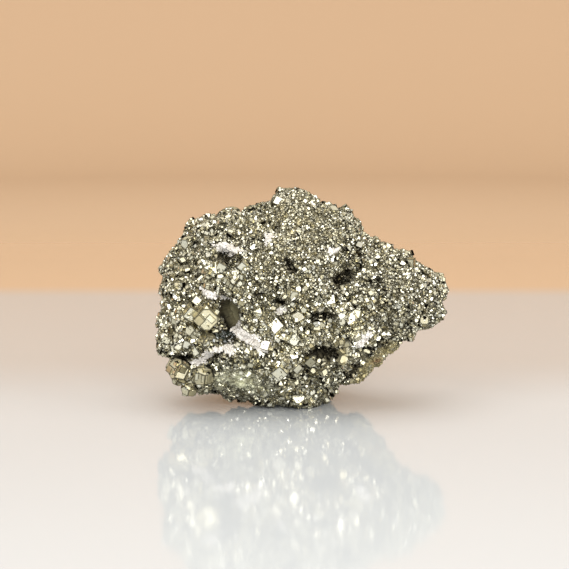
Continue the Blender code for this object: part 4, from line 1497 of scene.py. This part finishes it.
class PYRITE_OT_glassy_crystals(bpy.types.Operator):
    """Grows the dark glassy crystals on the floor of the large hollow"""

    bl_idname = "pyrite.glassy_crystals"
    bl_label = "Glassy crystals"

    def execute(self, context):
        random = np.random.default_rng(context.scene.pyrite_crystals.seed + 4)
        points, ways = mass_samples(context.scene, random)
        seen_x, seen_z, half_x, half_z = GLASSY_PATCH
        x, z = seen_place(seen_x, seen_z)
        near = ((points[:, 0] - x) / half_x) ** 2 + ((points[:, 2] - z) / half_z) ** 2 < 1.0
        near &= points[:, 1] < 0.0
        points, ways = points[near], ways[near]
        chosen = one_per_cell(points, GLASSY_SPACING, GLASSY_SALT)
        edges = random.uniform(*GLASSY_EDGES, len(chosen))
        crystals = grown(points[chosen], ways[chosen], edges, 0.0, GLASSY_SHAPES, random)
        piece = crystals_piece("glassy_crystals", crystals, glassy_material(), random)
        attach(piece, BODY)
        return {"FINISHED"}


def sweep_surface():
    """The stage as points in millimetres and quads: a profile of radius and height, flat, then a quarter
    circle up, then a wall, carried round the Z axis."""
    turn = np.linspace(0.0, math.pi / 2.0, BEND_STEPS + 1)
    bend = np.stack([TABLE_RADIUS + BEND_RADIUS * np.sin(turn), BEND_RADIUS * (1.0 - np.cos(turn))], axis=1)
    flat = [(0.0, 0.0), (TABLE_RING, 0.0)]
    wall = [(TABLE_RADIUS + BEND_RADIUS, WALL_TOP)]
    radius, height = np.concatenate([flat, bend, wall]).T / MM
    spin = np.linspace(0.0, math.tau, TABLE_SPOKES + 1)[:, None]
    level = np.ones_like(spin) * (height - TABLE_DROP / MM)
    points = np.stack([radius * np.sin(spin), -radius * np.cos(spin), level], axis=-1).reshape(-1, 3)
    count = len(radius)
    start = (np.arange(TABLE_SPOKES)[:, None] * count + np.arange(count - 1)[None, :]).ravel()
    return points, np.stack([start, start + count, start + count + 1, start + 1], axis=1)


def add_softbox(name, place, size, power):
    """A square area light that looks at the lump."""
    light = bpy.data.lights.new(name, "AREA")
    light.shape = "SQUARE"
    light.size = size
    light.energy = power
    made = bpy.data.objects.new(name, light)
    made.location = place
    made.rotation_euler = (Vector(LIGHT_AT) - made.location).to_track_quat("-Z", "Y").to_euler()
    bpy.context.scene.collection.objects.link(made)


def add_even_light(scene, strength):
    """Light of one strength from every side."""
    world = bpy.data.worlds.new("even_light")
    world.use_nodes = True
    background = world.node_tree.nodes["Background"]
    background.inputs["Color"].default_value = EVEN_LIGHT
    background.inputs["Strength"].default_value = strength
    scene.world = world


def add_camera(scene, settings):
    """The camera, in front of the lump and a little above it."""
    camera = bpy.data.cameras.new("camera")
    camera.lens = settings.lens
    camera.sensor_width = SENSOR_WIDTH
    camera.clip_start = NEAREST_SEEN
    made = bpy.data.objects.new("camera", camera)
    back = Vector((0.0, -math.cos(settings.elevation), math.sin(settings.elevation)))
    made.location = Vector(LOOK_AT) + back * settings.distance
    made.rotation_euler = (math.pi / 2.0 - settings.elevation, 0.0, 0.0)
    scene.collection.objects.link(made)
    scene.camera = made


class PYRITE_OT_stage(bpy.types.Operator):
    """Makes the table with its backdrop, the lights and the camera"""

    bl_idname = "pyrite.stage"
    bl_label = "Stage"

    def execute(self, context):
        scene = context.scene
        settings = scene.pyrite_stage
        points, quads = sweep_surface()
        sweep = new_piece("stage_sweep", points, quads.ravel(), np.full(len(quads), 4),
                          np.zeros((quads.size, 2)), sweep_material(settings))
        sweep.data.shade_smooth()
        sweep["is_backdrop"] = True
        for name, place, size, share in SOFTBOXES:
            add_softbox(name, place, size, settings.light_power * share)
        add_even_light(scene, settings.room_light)
        add_camera(scene, settings)
        scene.view_settings.view_transform = "Standard"
        return {"FINISHED"}


class PYRITE_PT_panel(bpy.types.Panel):
    """The cluster's settings and the steps that build it."""

    bl_label = "Raw pyrite cluster"
    bl_idname = "PYRITE_PT_panel"
    bl_space_type = "VIEW_3D"
    bl_region_type = "UI"
    bl_category = "Pyrite"

    def draw(self, context):
        for group, operators in STEPS:
            box = self.layout.box()
            settings = getattr(context.scene, group)
            for name in settings.__annotations__:
                box.prop(settings, name)
            for operator in operators:
                box.operator(operator)


# What the panel lists: each group of settings with the operators that it steers
STEPS = (
    ("pyrite_mass", ["pyrite.mass"]),
    ("pyrite_crystals", ["pyrite.fine_crystals", "pyrite.large_crystals"]),
    ("pyrite_colours", ["pyrite.quartz", "pyrite.glassy_crystals"]),
    ("pyrite_stage", ["pyrite.stage"]),
)
SETTINGS = {
    "pyrite_mass": PYRITE_PG_mass,
    "pyrite_crystals": PYRITE_PG_crystals,
    "pyrite_colours": PYRITE_PG_colours,
    "pyrite_stage": PYRITE_PG_stage,
}
CLASSES = (*SETTINGS.values(), PYRITE_OT_mass, PYRITE_OT_fine_crystals, PYRITE_OT_large_crystals,
           PYRITE_OT_quartz, PYRITE_OT_glassy_crystals, PYRITE_OT_stage, PYRITE_PT_panel)


def register():
    for cls in CLASSES:
        bpy.utils.register_class(cls)
    for name, cls in SETTINGS.items():
        setattr(bpy.types.Scene, name, bpy.props.PointerProperty(type=cls))


def unregister():
    for name in SETTINGS:
        delattr(bpy.types.Scene, name)
    for cls in reversed(CLASSES):
        bpy.utils.unregister_class(cls)


def main():
    """Builds everything in order."""
    register()
    bpy.ops.pyrite.mass()
    bpy.ops.pyrite.fine_crystals()
    bpy.ops.pyrite.large_crystals()
    bpy.ops.pyrite.quartz()
    bpy.ops.pyrite.glassy_crystals()
    bpy.ops.pyrite.stage()
    boxes = {"solid": SOLID_BOX, "dressed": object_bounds()}
    {name: [list(corner) for corner in box] for name, box in boxes.items()}


if __name__ == "__main__":
    main()
